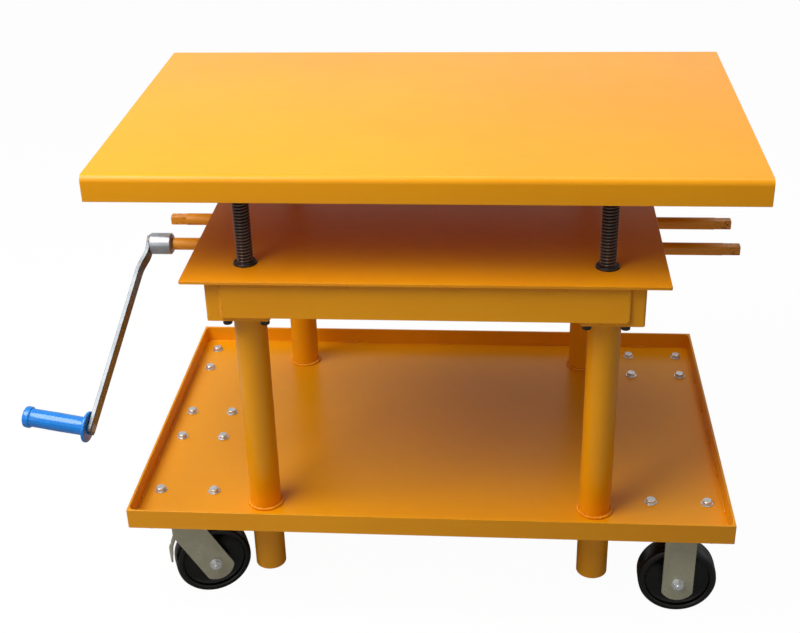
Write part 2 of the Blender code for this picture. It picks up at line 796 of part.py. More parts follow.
def bevel_gear(teeth, mate_teeth, bore, hub=0.0):
    """A bored bevel gear along +Z with its apex at the origin, and a hub behind it."""
    pitch = math.atan2(teeth, mate_teeth)
    addendum = 2 * math.sin(pitch) / teeth * 0.85
    dedendum = 2 * math.sin(pitch) / teeth * 1.15
    tip = math.tan(pitch + math.atan(addendum))
    root = math.tan(pitch - math.atan(dedendum))
    step = 2 * math.pi / teeth
    shares = ((root, -0.34), (tip, -0.13), (tip, 0.13), (root, 0.34))
    back = GEAR_MODULE * mate_teeth / 2
    front = back - GEAR_FACE
    rings = []
    for height in (back, front):
        rings.append(
            [
                (
                    height * radius * math.cos((tooth + share) * step),
                    height * radius * math.sin((tooth + share) * step),
                    height,
                )
                for tooth in range(teeth)
                for radius, share in shares
            ]
        )
    bm = bmesh.new()
    loops = [[bm.verts.new(point) for point in ring] for ring in rings]
    bm.faces.new(loops[0])
    bm.faces.new(loops[1])
    count = len(loops[0])
    for index in range(count):
        after = (index + 1) % count
        bm.faces.new((loops[0][index], loops[0][after], loops[1][after], loops[1][index]))
    bmesh.ops.recalc_face_normals(bm, faces=bm.faces)
    mesh = bpy.data.meshes.new("bevel_gear")
    bm.to_mesh(mesh)
    bm.free()
    if hub:
        boss = cylinder(PINION_HUB, back - WELD_OVERLAP, back + hub, MEDIUM)
        mesh = boolean(mesh, boss, "UNION")
    hole = cylinder(bore, front - CUT_PAST, back + hub + CUT_PAST, MEDIUM)
    return boolean(mesh, hole, "DIFFERENCE")


def crank_shaft():
    """A round shaft along X whose ends are milled square for the crank."""
    shaft = cylinder(SHAFT_DIAMETER, -SHAFT_LEFT, SHAFT_RIGHT, MEDIUM, AXIS_X, 0.001)
    half = SQUARE_SIZE / 2
    size = SHAFT_DIAMETER
    collars = []
    for low, high in (
        (-SHAFT_LEFT - CUT_PAST, SQUARE_LENGTH - SHAFT_LEFT),
        (SHAFT_RIGHT - SQUARE_LENGTH, SHAFT_RIGHT + CUT_PAST),
    ):
        around = rectangle(-size, size, -size, size)
        collars.append(prism([around, rectangle(-half, half, -half, half)], low, high, AXIS_X))
    return boolean(shaft, joined(collars), "DIFFERENCE")


def build_shafts(carriers, jack_carriers):
    shaft = crank_shaft()
    bore = SHAFT_DIAMETER + 2 * SEAT_GAP
    jack_bore = JACKSHAFT_DIAMETER + 2 * SEAT_GAP
    gear_teeth = {"front": FAST_GEAR_TEETH, "back": SLOW_GEAR_TEETH}
    for name, carrier in carriers.items():
        teeth = gear_teeth[name]
        add_part(f"crank_shaft_{name}", shaft.copy(), PAINT, carrier)
        pinion = bevel_gear(PINION_TEETH, teeth, bore, PINION_HUB_LENGTH)
        pinion.transform(Matrix.Rotation(-math.pi / 2, 4, "Y"))
        add_part(f"bevel_pinion_{name}", pinion, BRIGHT_STEEL, carrier)

        wheel = bevel_gear(teeth, PINION_TEETH, jack_bore)
        wheel.transform(Matrix.Rotation(math.pi / teeth, 4, "Z"))
        jack = jack_carriers[name]
        add_part(f"bevel_gear_{name}", wheel, BRIGHT_STEEL, jack)
        low = SHELF_TOP + SEAT_GAP - SHAFT_Z
        collar_top = CHAIN_HEIGHT - SHAFT_Z
        start = PINION_RADIUS - GEAR_FACE
        top = PLATE_UNDER - SEAT_GAP - SHAFT_Z
        profile = [
            (0, top),
            (JACKSHAFT_DIAMETER / 2, top),
            (JACKSHAFT_DIAMETER / 2, collar_top),
            (JACK_HUB / 2, collar_top),
            (JACK_HUB / 2, low),
            (JACKSHAFT_DIAMETER / 2, low),
            (JACKSHAFT_DIAMETER / 2, start),
            (0, start),
        ]
        plate = sprocket(DRIVE_TEETH, DRIVE_PITCH_RADIUS, JACKSHAFT_DIAMETER - 2 * SEAT_GAP)
        plate = moved(plate, z=CHAIN_HEIGHT - SHAFT_Z)
        upright = boolean(turned(profile, MEDIUM), plate, "UNION")
        add_part(f"jackshaft_{name}", upright, BRIGHT_STEEL, jack)


def build_gear_cross_bar():
    """A bar between the front and back bars, with a shelf over the bevel gears."""
    reach = FRAME_DEPTH / 2
    outline = [(-reach, SHELF_TOP), (-reach, PAD_TOP), (-SHELF_HALF_DEPTH - BAR_DROP, PAD_TOP)]
    outline += [(-SHELF_HALF_DEPTH, FRAME_BOTTOM), (SHELF_HALF_DEPTH, FRAME_BOTTOM)]
    outline += [(SHELF_HALF_DEPTH + BAR_DROP, PAD_TOP), (reach, PAD_TOP), (reach, SHELF_TOP)]
    hole = SHAFT_DIAMETER + 2 * SHAFT_CLEARANCE
    loops = [outline] + [circle(y, SHAFT_Z, hole, MEDIUM) for y in SHAFTS.values()]
    web = prism(loops, CROSSBAR_X, CROSSBAR_X + CROSSBAR_THICKNESS, AXIS_X)
    bore = JACKSHAFT_DIAMETER + 2 * SHAFT_CLEARANCE
    right = CROSSBAR_X + WELD_OVERLAP
    plan = [rectangle(SHELF_LEFT, right, -SHELF_HALF_DEPTH, SHELF_HALF_DEPTH)]
    plan += [circle(0, y, bore, MEDIUM) for y in SHAFTS.values()]
    shelf = prism(plan, SHELF_LOW, SHELF_TOP)
    add_part("gear_cross_bar", boolean(web, shelf, "UNION"), PAINT)


# Crank: hub on the square, bent flat arm, spindle and free turning grip
def build_crank(carrier, grip_carrier):
    """The crank in its own frame, with the arm hanging down, swung forward in place."""
    length = SHAFT_LEFT - HUB_RIGHT
    side = SQUARE_SIZE / 2 + SEAT_GAP
    hub = cylinder(HUB_DIAMETER, -HUB_LEFT, -HUB_RIGHT, ROUND, AXIS_X, HUB_CHAMFER)
    socket = prism([rectangle(-side, side, -side, side)], -SHAFT_LEFT - 0.003, 0, AXIS_X)
    socket.transform(Matrix.Rotation(CRANK_SWING, 4, "X"))
    hub = boolean(hub, socket, "DIFFERENCE")

    outline = arm_outline()
    arm = prism([outline], -ARM_WIDTH / 2, ARM_WIDTH / 2, AXIS_Y)
    crank = boolean(hub, arm, "UNION")
    half = SPINDLE_DIAMETER / 2
    rivet = ARM_THICKNESS / 2 + SPINDLE_HEAD_HEIGHT
    tip = ARM_THICKNESS / 2 + GRIP_LENGTH - SPINDLE_SHORT
    spindle = [
        (0, rivet),
        (SPINDLE_HEAD / 2 - 0.002, rivet),
        (SPINDLE_HEAD / 2, 0),
        (half, 0),
        (half, -tip),
        (0, -tip),
    ]
    pin = turned(spindle, MEDIUM, AXIS_X)
    pin.transform(grip_frame())
    crank = boolean(crank, pin, "UNION")
    add_part("crank_arm", crank, ZINC, carrier, rotation=(-CRANK_SWING, 0, 0))

    start = -ARM_THICKNESS / 2 - 0.001
    end = start - GRIP_LENGTH
    radius = GRIP_DIAMETER / 2
    bore = half + SEAT_GAP
    profile = [
        (bore, start),
        (GRIP_FLANGE / 2 - 0.004, start),
        (GRIP_FLANGE / 2, start - 0.002),
        (GRIP_FLANGE / 2, start - GRIP_FLANGE_WIDTH + 0.002),
        (radius + 0.003, start - GRIP_FLANGE_WIDTH),
        (radius, start - GRIP_FLANGE_WIDTH - 0.003),
        (radius, end + GRIP_COLLAR_WIDTH + 0.002),
        (GRIP_COLLAR / 2, end + GRIP_COLLAR_WIDTH),
        (GRIP_COLLAR / 2, end + 0.005),
        (GRIP_COLLAR / 2 - 0.005, end),
        (0, end),
        (0, end + 0.006),
        (bore, end + 0.006),
    ]
    grip = turned(profile, ROUND, AXIS_X, ring=True)
    add_part("crank_grip", grip, BLUE_PLASTIC, grip_carrier)


def arm_outline():
    """The bent flat bar in (z, x), hung down from the crank shaft's axis."""
    face = -HUB_LEFT - ARM_THICKNESS / 2 + ARM_SINK
    line = [
        Vector((ARM_LAP, face)),
        Vector((-ARM_STRAIGHT, face)),
        Vector((-ARM_BEND_RADIUS, -HUB_LEFT - ARM_BEND_X)),
        arm_end(ARM_TIP),
    ]
    left = []
    right = []
    for index, point in enumerate(line):
        before = line[max(index - 1, 0)]
        after = line[min(index + 1, len(line) - 1)]
        ahead = (after - before).normalized()
        normal = Vector((-ahead.y, ahead.x)) * ARM_THICKNESS / 2
        left.append(tuple(point + normal))
        right.append(tuple(point - normal))
    return left + right[::-1]


def arm_end(beyond=0.0):
    """The point on the arm's centre line at the grip, or past it, as (z, x)."""
    bend = Vector((-ARM_BEND_RADIUS, -HUB_LEFT - ARM_BEND_X))
    end = Vector((-ARM_END_RADIUS, -HUB_LEFT - ARM_END_X))
    return end + (end - bend).normalized() * beyond


def grip_frame():
    """The grip's frame on the hanging arm, with X square to the arm."""
    end = arm_end()
    along = arm_end(ARM_TIP) - end
    lean = math.atan2(-along.y, -along.x)
    place = Matrix.Translation((end.y, 0, end.x))
    return place @ Matrix.Rotation(lean, 4, "Y")


# Tray: floor, rim, bolts
def caster_bolts():
    """The bolt places of the four casters."""
    places = []
    for x in (-CASTER_X, CASTER_X):
        for y in CASTER_Y.values():
            places += corners(CASTER_BOLTS_X, CASTER_BOLTS_Y, x, y)
    return places


def lock_bolts():
    """The bolt places of the floor lock."""
    return corners(LOCK_BOLTS_X, LOCK_BOLTS_Y, LOCK_X, LOCK_Y)


def build_tray():
    length = TRAY_LENGTH / 2
    depth = TRAY_DEPTH / 2
    inner_length = length - RIM_WALL
    inner_depth = depth - RIM_WALL
    outline = rectangle(-length, length, -depth, depth, 0.002, 2)
    inside = rectangle(-inner_length, inner_length, -inner_depth, inner_depth, RIM_CORNER, 3)
    rim_top = TRAY_BOTTOM + RIM_HEIGHT
    pocket = prism([inside], TRAY_TOP, rim_top + TRAY_FLOOR)
    tray = boolean(prism([outline], TRAY_BOTTOM, rim_top), pocket, "DIFFERENCE")
    tray = drilled(tray, POSTS.values(), LEG_DIAMETER + 2 * SEAT_GAP, ROUND)
    tray = drilled(tray, caster_bolts() + lock_bolts(), BOLT_DIAMETER + 2 * HOLE_CLEARANCE)
    add_part("tray", tray, PAINT)


# Casters: rigid forks, swivel plates and forks, wheels, axles and brakes
def fork_section(top, low):
    """An inverted U in (y, z) with bent shoulders."""
    outer = FORK_OUTER
    inner = FORK_GAP / 2
    bend = FORK_BEND
    under = top - FORK_SHEET
    inside = bend - FORK_SHEET
    points = [(outer, low)]
    points += arc(outer - bend, top - bend, bend, 0, 90, 2)
    points += arc(bend - outer, top - bend, bend, 90, 180, 2)
    points += [(-outer, low), (-inner, low)]
    points += arc(inside - inner, under - inside, inside, 180, 90, 2)
    points += arc(inner - inside, under - inside, inside, 90, 0, 2)
    points += [(inner, low)]
    return points


def fork_mesh(top, silhouette):
    """A fork bent from strap: the U section limited to its side view in (z, x)."""
    reach = WHEEL_DIAMETER
    channel = prism([fork_section(top, CUT_PAST)], -reach, reach, AXIS_X)
    side = prism([silhouette], -reach, reach, AXIS_Y)
    return boolean(channel, side, "INTERSECT")


def axle_hole(x):
    """A cutter for the axle through both legs of a fork."""
    hole = AXLE_DIAMETER + 2 * SEAT_GAP
    return moved(cylinder(hole, -PIN_REACH, PIN_REACH, COARSE, AXIS_Y), x=x, z=AXLE_Z)


def pin_cutter(x, z):
    """A cutter for a lever's pin through both cheeks that carry it."""
    hole = BRAKE_PIN + 2 * SEAT_GAP
    return moved(cylinder(hole, -PIN_REACH, PIN_REACH, MEDIUM, AXIS_Y), x=x, z=z)


def strap_end(x, slant=0.0):
    """The round end of a fork leg in (z, x), from its -X side to its +X side."""
    spread = math.degrees(math.asin(FORK_STRAP / 2 / FORK_END_RADIUS))
    middle = 180 - math.degrees(slant)
    return arc(AXLE_Z, x, FORK_END_RADIUS, middle + spread, middle - spread, 4)


def wheel_mesh():
    """A solid caster wheel turned round its axle, with dished faces and a hub."""
    radius = WHEEL_DIAMETER / 2
    half = WHEEL_WIDTH / 2
    edge = WHEEL_SHOULDER
    dish = half - WHEEL_RECESS
    rim = radius - WHEEL_FACE
    hub = HUB_WIDTH / 2
    bore = AXLE_DIAMETER / 2 + SEAT_GAP
    side = [
        (bore, hub),
        (HUB_RADIUS, hub),
        (HUB_RADIUS + 0.002, dish),
        (rim - 0.003, dish),
        (rim, half),
        (radius - edge * 0.6, half),
        (radius, half - edge),
    ]
    profile = side + [(r, -z) for r, z in reversed(side)]
    return turned(profile, ROUND, AXIS_Y, ring=True)


def axle_mesh():
    """An axle bolt across the fork, head to the front and nut to the back."""
    seat = FORK_OUTER + SEAT_GAP
    shaft = cylinder(AXLE_DIAMETER, -seat - 0.002, seat + 0.002, COARSE, AXIS_Y)
    hexes = [
        prism([hexagon(AXLE_HEAD_ACROSS)], low, low + AXLE_HEAD_HEIGHT, AXIS_Y)
        for low in (-seat - AXLE_HEAD_HEIGHT, seat)
    ]
    return boolean(shaft, joined(hexes), "UNION")


def mounting_plate(spacing_x, spacing_y, thickness):
    """A plate under the tray with a bolt hole near each corner."""
    half_x = spacing_x / 2 + MOUNT_MARGIN
    half_y = spacing_y / 2 + MOUNT_MARGIN
    plan = rectangle(-half_x, half_x, -half_y, half_y, MOUNT_CORNER, 1)
    plate = prism([plan], CASTER_TOP - thickness, CASTER_TOP)
    return drilled(plate, corners(spacing_x, spacing_y), BOLT_DIAMETER + 2 * HOLE_CLEARANCE)


def build_rigid_caster(name, y, wheel_carrier):
    top = CASTER_TOP - CASTER_PLATE + MERGE * 10
    strap = FORK_STRAP / 2
    silhouette = [(top + CUT_PAST, strap), (top + CUT_PAST, -strap)]
    silhouette += strap_end(0)
    fork = fork_mesh(top, silhouette)
    plate = mounting_plate(CASTER_BOLTS_X, CASTER_BOLTS_Y, CASTER_PLATE)
    fork = boolean(fork, plate, "UNION")
    fork = boolean(fork, axle_hole(0), "DIFFERENCE")
    add_part(f"rigid_fork_{name}", fork, ZINC, table, (CASTER_X, y, 0))
    add_part(f"rigid_axle_{name}", axle_mesh(), ZINC, table, (CASTER_X, y, AXLE_Z))
    add_part(f"rigid_wheel_{name}", wheel_mesh(), BLACK_RUBBER, wheel_carrier)


def swivel_plate_mesh():
    """The fixed half of a swivel caster: mounting plate and raceway."""
    plate = mounting_plate(CASTER_BOLTS_X, CASTER_BOLTS_Y, CASTER_PLATE)
    top = CASTER_TOP - CASTER_PLATE + MERGE * 10
    radius = SWIVEL_HEAD / 2
    profile = [
        (0, top),
        (radius - 0.006, top),
        (radius, top - 0.006),
        (radius, SWIVEL_Z),
        (0, SWIVEL_Z),
    ]
    return boolean(plate, turned(profile, MEDIUM), "UNION")


def build_swivel_caster(name, y, swivel, wheel_carrier, brake_carrier):
    add_part(f"swivel_plate_{name}", swivel_plate_mesh(), ZINC, table, (-CASTER_X, y, 0))
    strap = FORK_STRAP / 2
    drop = CROWN_TOP - SWIVEL_CROWN
    slant = math.atan2(SWIVEL_TRAIL, drop - AXLE_Z)
    shift = strap * math.tan(slant / 2)
    over = CROWN_TOP + CUT_PAST
    silhouette = [(over, strap), (over, -strap), (drop - shift, -strap)]
    silhouette += strap_end(SWIVEL_TRAIL, slant)
    silhouette += [(drop + shift, strap)]
    fork = fork_mesh(CROWN_TOP, silhouette)
    crown = ring_mesh(SWIVEL_HEAD + 0.004, KINGPIN, CROWN_TOP - 0.009, CROWN_TOP, MEDIUM)
    fork = boolean(fork, crown, "UNION")
    fork = boolean(fork, axle_hole(SWIVEL_TRAIL), "DIFFERENCE")
    pin_hole = pin_cutter(BRAKE_PIVOT_X, BRAKE_PIVOT_Z)
    fork = boolean(fork, pin_hole, "DIFFERENCE")
    fork.transform(Matrix.Translation((0, 0, -SWIVEL_Z)))
    add_part(f"swivel_fork_{name}", fork, ZINC, swivel)
    axle_place = (SWIVEL_TRAIL, 0, AXLE_Z - SWIVEL_Z)
    add_part(f"swivel_axle_{name}", axle_mesh(), ZINC, swivel, axle_place)
    add_part(f"swivel_wheel_{name}", wheel_mesh(), BLACK_RUBBER, wheel_carrier)
    add_part(f"wheel_brake_{name}", brake_mesh(), ZINC, brake_carrier)


def brake_mesh():
    """A foot brake round its pivot: a bent arm with a round pad, its eye and its pin."""
    line = [Vector(point) for point in BRAKE_LINE]
    left = []
    right = []
    for index, point in enumerate(line):
        before = line[max(index - 1, 0)]
        after = line[min(index + 1, len(line) - 1)]
        ahead = (after - before).normalized()
        normal = Vector((-ahead.y, ahead.x)) * BRAKE_SHEET / 2
        left.append(tuple(point + normal))
        right.append(tuple(point - normal))
    half = BRAKE_PAD / 2
    tongue = prism([left + right[::-1]], -half, half, AXIS_Y)
    arm = BRAKE_ARM / 2
    neck = math.degrees(math.acos(-arm / half))
    shape = [(arm, BRAKE_EYE), (-arm, BRAKE_EYE)]
    shape += arc(0, BRAKE_LINE[-1][0] + half, half, neck, 540 - neck, 10)
    limit = prism([shape], 2 * BRAKE_LINE[-1][1], BRAKE_EYE, AXIS_X)
    tongue = boolean(tongue, limit, "INTERSECT")
    eye = cylinder(2 * BRAKE_EYE, -half + 0.001, half - 0.001, FINE, AXIS_Y)
    seat = FORK_OUTER + SEAT_GAP
    pin = cylinder(BRAKE_PIN, -seat, seat, MEDIUM, AXIS_Y)
    return boolean(boolean(tongue, eye, "UNION"), pin, "UNION")


# Floor lock: bracket, foot on its stem, and the pedal that drives it
def build_floor_lock(foot_carrier, pedal_carrier):
    low = CASTER_TOP - LOCK_PLATE
    bracket = mounting_plate(LOCK_BOLTS_X, LOCK_BOLTS_Y, LOCK_PLATE)
    cheek = rectangle(LOCK_CHEEK_BOTTOM, low + MERGE * 10, -LOCK_CHEEK_WIDTH / 2, LOCK_CHEEK_WIDTH / 2)
    inner = LOCK_CHEEK_GAP / 2
    cheeks = [
        prism([cheek], inner, inner + LOCK_CHEEK, AXIS_Y),
        prism([cheek], -inner - LOCK_CHEEK, -inner, AXIS_Y),
    ]
    bracket = boolean(bracket, joined(cheeks), "UNION")
    guide_bore = LOCK_STEM + 2 * SHAFT_CLEARANCE
    reach = inner + LOCK_CHEEK
    web = [
        rectangle(-LOCK_GUIDE / 2, LOCK_GUIDE / 2, -reach, reach),
        circle(0, 0, guide_bore, MEDIUM),
    ]
    guide = prism(web, LOCK_GUIDE_BOTTOM, LOCK_CHEEK_BOTTOM + MERGE * 10)
    bracket = boolean(bracket, guide, "UNION")
    bracket = boolean(bracket, pin_cutter(PEDAL_PIVOT_X, PEDAL_PIVOT_Z), "DIFFERENCE")
    add_part("floor_lock_bracket", bracket, ZINC, table, (LOCK_X, LOCK_Y, 0))

    stem = LOCK_STEM / 2
    foot = LOCK_FOOT / 2
    top = PEDAL_PIVOT_Z - PEDAL_SHEET / 2 - LOCK_STEM_PLAY
    height = top - LOCK_FOOT_CLEARANCE
    profile = [
        (0, height),
        (LOCK_STEM_TIP, height),
        (stem, height - LOCK_STEM_CONE),
        (stem, LOCK_FOOT_THICKNESS),
        (foot - 0.004, LOCK_FOOT_THICKNESS),
        (foot, LOCK_FOOT_THICKNESS - 0.004),
        (foot, 0.002),
        (foot - 0.002, 0),
        (0, 0),
    ]
    add_part("floor_lock_foot", turned(profile, MEDIUM), BLACK_RUBBER, foot_carrier)

    half = PEDAL_WIDTH / 2
    hub = PEDAL_HUB
    sheet = PEDAL_SHEET / 2
    low = -PEDAL_DROP
    rise = PEDAL_PAD_START - PEDAL_DROP - 4 * sheet
    line = [
        (hub, hub),
        (-hub, hub),
        (-hub, -hub),
        (-sheet, -2 * hub),
        (-sheet, -rise),
        (low, -PEDAL_PAD_START),
        (low, -PEDAL_LENGTH),
        (low + 2 * sheet, -PEDAL_LENGTH),
        (low + 2 * sheet, -PEDAL_PAD_START - sheet),
        (sheet, -rise - sheet),
        (hub, -hub),
    ]
    pedal = prism([line], -half + 0.001, half - 0.001, AXIS_Y)
    seat = LOCK_CHEEK_GAP / 2 + LOCK_CHEEK + SEAT_GAP
    pin = cylinder(BRAKE_PIN, -seat, seat, MEDIUM, AXIS_Y)
    pedal = boolean(pedal, pin, "UNION")
    add_part("floor_lock_pedal", pedal, ZINC, pedal_carrier)


# Assembly
build_deck(axis_empty("deck_lift", (0, 0, 0)))
build_top_frame()
build_legs()
nut_carriers = {
    name: axis_empty(f"nut_axis_{name}", (x, y, NUT_BOTTOM)) for name, (x, y) in POSTS.items()
}
build_nuts(nut_carriers)
build_chain()
shaft_carriers = {
    name: axis_empty(f"shaft_axis_{name}", (0, y, SHAFT_Z)) for name, y in SHAFTS.items()
}
jack_carriers = {
    name: axis_empty(f"jack_axis_{name}", (0, y, SHAFT_Z)) for name, y in SHAFTS.items()
}
build_shafts(shaft_carriers, jack_carriers)
build_gear_cross_bar()
grip_place = Matrix.Rotation(-CRANK_SWING, 4, "X") @ grip_frame()
grip_carrier = axis_empty("grip_axis", grip_place.to_translation(), shaft_carriers["front"])
grip_carrier.rotation_euler = grip_place.to_euler()
build_crank(shaft_carriers["front"], grip_carrier)
build_tray()

for side, caster_y in CASTER_Y.items():
    rigid_wheel = axis_empty(f"rigid_wheel_axis_{side}", (CASTER_X, caster_y, AXLE_Z))
    build_rigid_caster(side, caster_y, rigid_wheel)
    swivel_axis = axis_empty(
        f"swivel_axis_{side}", (-CASTER_X, caster_y, SWIVEL_Z), turn=SWIVEL_TURN
    )
    wheel_place = (SWIVEL_TRAIL, 0, AXLE_Z - SWIVEL_Z)
    wheel_axis = axis_empty(f"swivel_wheel_axis_{side}", wheel_place, swivel_axis)
    brake_place = (BRAKE_PIVOT_X, 0, BRAKE_PIVOT_Z - SWIVEL_Z)
    brake_axis = axis_empty(f"brake_axis_{side}", brake_place, swivel_axis)
    build_swivel_caster(side, caster_y, swivel_axis, wheel_axis, brake_axis)

foot_axis = axis_empty("floor_lock_foot_axis", (LOCK_X, LOCK_Y, LOCK_FOOT_CLEARANCE))
pedal_axis = axis_empty(
    "floor_lock_pedal_axis", (LOCK_X + PEDAL_PIVOT_X, LOCK_Y, PEDAL_PIVOT_Z)
)
build_floor_lock(foot_axis, pedal_axis)
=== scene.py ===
import math

import bmesh
import bpy
from mathutils import Matrix, Vector


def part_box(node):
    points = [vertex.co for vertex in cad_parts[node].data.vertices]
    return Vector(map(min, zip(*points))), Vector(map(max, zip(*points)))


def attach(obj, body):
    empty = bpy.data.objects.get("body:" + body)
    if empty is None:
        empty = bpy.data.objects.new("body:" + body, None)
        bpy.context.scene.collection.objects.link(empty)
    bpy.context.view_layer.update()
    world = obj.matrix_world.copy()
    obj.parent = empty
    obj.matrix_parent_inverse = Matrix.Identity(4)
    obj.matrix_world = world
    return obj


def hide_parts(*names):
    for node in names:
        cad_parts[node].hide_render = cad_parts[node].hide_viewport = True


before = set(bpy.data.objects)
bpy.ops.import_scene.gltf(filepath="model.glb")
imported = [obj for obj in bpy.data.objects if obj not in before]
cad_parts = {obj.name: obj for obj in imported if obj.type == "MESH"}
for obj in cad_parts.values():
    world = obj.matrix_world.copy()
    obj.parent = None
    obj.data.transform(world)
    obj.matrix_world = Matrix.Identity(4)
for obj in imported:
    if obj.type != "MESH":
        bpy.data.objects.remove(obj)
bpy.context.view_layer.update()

# Deck
# One sheet of 4.8 mm steel with its front and back edges bent down round a 13 mm radius.
# End skirts are welded in and ground flush. The whole deck is coated in orange enamel.
deck_low, deck_high = (Vector(corner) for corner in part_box("deck"))
MIDDLE = Vector(((deck_low.x + deck_high.x) / 2, (deck_low.y + deck_high.y) / 2, 0))
DECK_HALF = Vector(((deck_high.x - deck_low.x) / 2, (deck_high.y - deck_low.y) / 2, 0))
DECK_TOP = deck_high.z
SKIRT = 0.0508
DECK_SHEET = 0.0048
DECK_BEND = 0.013
AXIS_X = Matrix(((0, 0, 1), (1, 0, 0), (0, 1, 0))).to_4x4()
AXIS_Y = Matrix(((0, 1, 0), (0, 0, 1), (1, 0, 0))).to_4x4()


def linear(red, green, blue):
    """A colour as a picture shows it, as the linear colour that a shader takes."""
    shares = [value / 255 for value in (red, green, blue)]
    bright = [s / 12.92 if s <= 0.04045 else ((s + 0.055) / 1.055) ** 2.4 for s in shares]
    return (*bright, 1)


def arc(x, y, radius, start, end, steps):
    """Points on an arc between two angles in degrees."""
    angles = [math.radians(start + (end - start) * i / steps) for i in range(steps + 1)]
    return [(x + radius * math.cos(a), y + radius * math.sin(a)) for a in angles]


def extruded(outline, low, high, axis=None):
    """An outline drawn out from low to high: along Z, or along X from (y, z) with AXIS_X,
    or along Y from (z, x) with AXIS_Y."""
    bm = bmesh.new()
    loops = [[bm.verts.new((*point, height)) for point in outline] for height in (low, high)]
    for loop in loops:
        bm.faces.new(loop)
    for index in range(len(outline)):
        after = (index + 1) % len(outline)
        bm.faces.new((loops[0][index], loops[0][after], loops[1][after], loops[1][index]))
    bmesh.ops.recalc_face_normals(bm, faces=bm.faces)
    mesh = bpy.data.meshes.new("extruded")
    bm.to_mesh(mesh)
    bm.free()
    if axis is not None:
        mesh.transform(axis)
    return mesh


def shaped(mesh, *cuts):
    """A mesh after its Boolean cuts, each a pair of another mesh and what it does."""
    body = bpy.data.objects.new("shaping", mesh)
    bpy.context.scene.collection.objects.link(body)
    tools = []
    for other, operation in cuts:
        tool = bpy.data.objects.new("tool", other)
        bpy.context.scene.collection.objects.link(tool)
        tools.append(tool)
        modifier = body.modifiers.new("cut", "BOOLEAN")
        modifier.operation = operation
        modifier.solver = "EXACT"
        modifier.object = tool
    result = bpy.data.meshes.new_from_object(
        body.evaluated_get(bpy.context.evaluated_depsgraph_get())
    )
    for used in [body, *tools]:
        bpy.data.objects.remove(used)
    return result


def joined(meshes):
    """Several meshes as one."""
    bm = bmesh.new()
    for mesh in meshes:
        bm.from_mesh(mesh)
    result = bpy.data.meshes.new("joined")
    bm.to_mesh(result)
    bm.free()
    return result


def moved(mesh, x=0.0, y=0.0, z=0.0):
    """A copy of a mesh in another place."""
    copy = mesh.copy()
    copy.transform(Matrix.Translation((x, y, z)))
    return copy


def finished(name, mesh, body, material, slot, *nodes, edge=0.0, rounds=2):
    """A finished piece on its body: placed from the table's middle, with eased edges."""
    mesh.transform(Matrix.Translation(MIDDLE))
    mesh.name = name
    mesh.materials.clear()
    mesh.materials.append(material)
    mesh.shade_smooth()
    piece = bpy.data.objects.new(name, mesh)
    bpy.context.scene.collection.objects.link(piece)
    if edge:
        bevel = piece.modifiers.new("eased_edges", "BEVEL")
        bevel.width = edge
        bevel.segments = rounds
        bevel.limit_method = "ANGLE"
        bevel.angle_limit = math.radians(32)
        bevel.use_clamp_overlap = True
        bevel.harden_normals = True
    else:
        mesh.set_sharp_from_angle(angle=math.radians(35))
    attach(piece, body)
    if nodes:
        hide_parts(*nodes)
    return piece


def feed(tree, node, **inputs):
    """Sets or links a node's inputs by name, or by number as nth0."""
    for key, value in inputs.items():
        socket = node.inputs[int(key[3:]) if key.startswith("nth") else key.replace("_", " ")]
        if isinstance(value, bpy.types.NodeSocket):
            tree.links.new(value, socket)
        else:
            socket.default_value = value


def step(tree, kind, settings=None, **inputs):
    """A new node in a tree, with its settings and its inputs."""
    made = tree.nodes.new(kind)
    for key, value in (settings or {}).items():
        setattr(made, key, value)
    feed(tree, made, **inputs)
    return made


def maths(tree, operation, first, second=0.0, third=0.0, clamp=False):
    """The result of a sum on values or sockets."""
    settings = {"operation": operation, "use_clamp": clamp}
    return step(tree, "ShaderNodeMath", settings, nth0=first, nth1=second, nth2=third).outputs[0]


def blended(tree, factor, first, second, blend="MIX"):
    """Two colours mixed by a factor."""
    settings = {"data_type": "RGBA", "blend_type": blend}
    mix = step(tree, "ShaderNodeMix", settings, nth0=factor, nth6=first, nth7=second)
    return mix.outputs[2]


def ramped(tree, value, low, high, smooth=True):
    """A value stretched from low..high to 0..1."""
    kind = "SMOOTHSTEP" if smooth else "LINEAR"
    made = step(
        tree, "ShaderNodeMapRange", {"interpolation_type": kind}, nth0=value, nth1=low, nth2=high
    )
    return made.outputs[0]


def noise(tree, place, scale, detail=3.0, roughness=0.55):
    """The value of a noise at a place."""
    made = step(
        tree, "ShaderNodeTexNoise", None, Vector=place, Scale=scale, Detail=detail,
        Roughness=roughness,
    )
    return made.outputs[0]


def effect_group(name, inputs, outputs):
    """An empty node group with named sockets, and its two end nodes."""
    group = bpy.data.node_groups.new(name, "ShaderNodeTree")
    for label, kind, value in inputs:
        socket = group.interface.new_socket(label, in_out="INPUT", socket_type=kind)
        if value is not None:
            socket.default_value = value
    for label, kind in outputs:
        group.interface.new_socket(label, in_out="OUTPUT", socket_type=kind)
    return group, group.nodes.new("NodeGroupInput").outputs, group.nodes.new("NodeGroupOutput")


def material_tree(name):
    """A new material, its tree, its shader and its Object coordinates."""
    material = bpy.data.materials.new(name)
    material.use_nodes = True
    tree = material.node_tree
    place = tree.nodes.new("ShaderNodeTexCoord").outputs["Object"]
    return material, tree, tree.nodes["Principled BSDF"], place


def grouped(tree, group, **inputs):
    """The outputs of a node group put in a tree with its inputs."""
    return step(tree, "ShaderNodeGroup", {"node_tree": group}, **inputs).outputs


def bumped(tree, shader, height, strength, distance):
    """A height as a bump on a shader."""
    bump = step(tree, "ShaderNodeBump", None, Strength=strength, Distance=distance, Height=height)
    feed(tree, shader, Normal=bump.outputs[0])


FLOAT, COLOUR, VECTOR = "NodeSocketFloat", "NodeSocketColor", "NodeSocketVector"

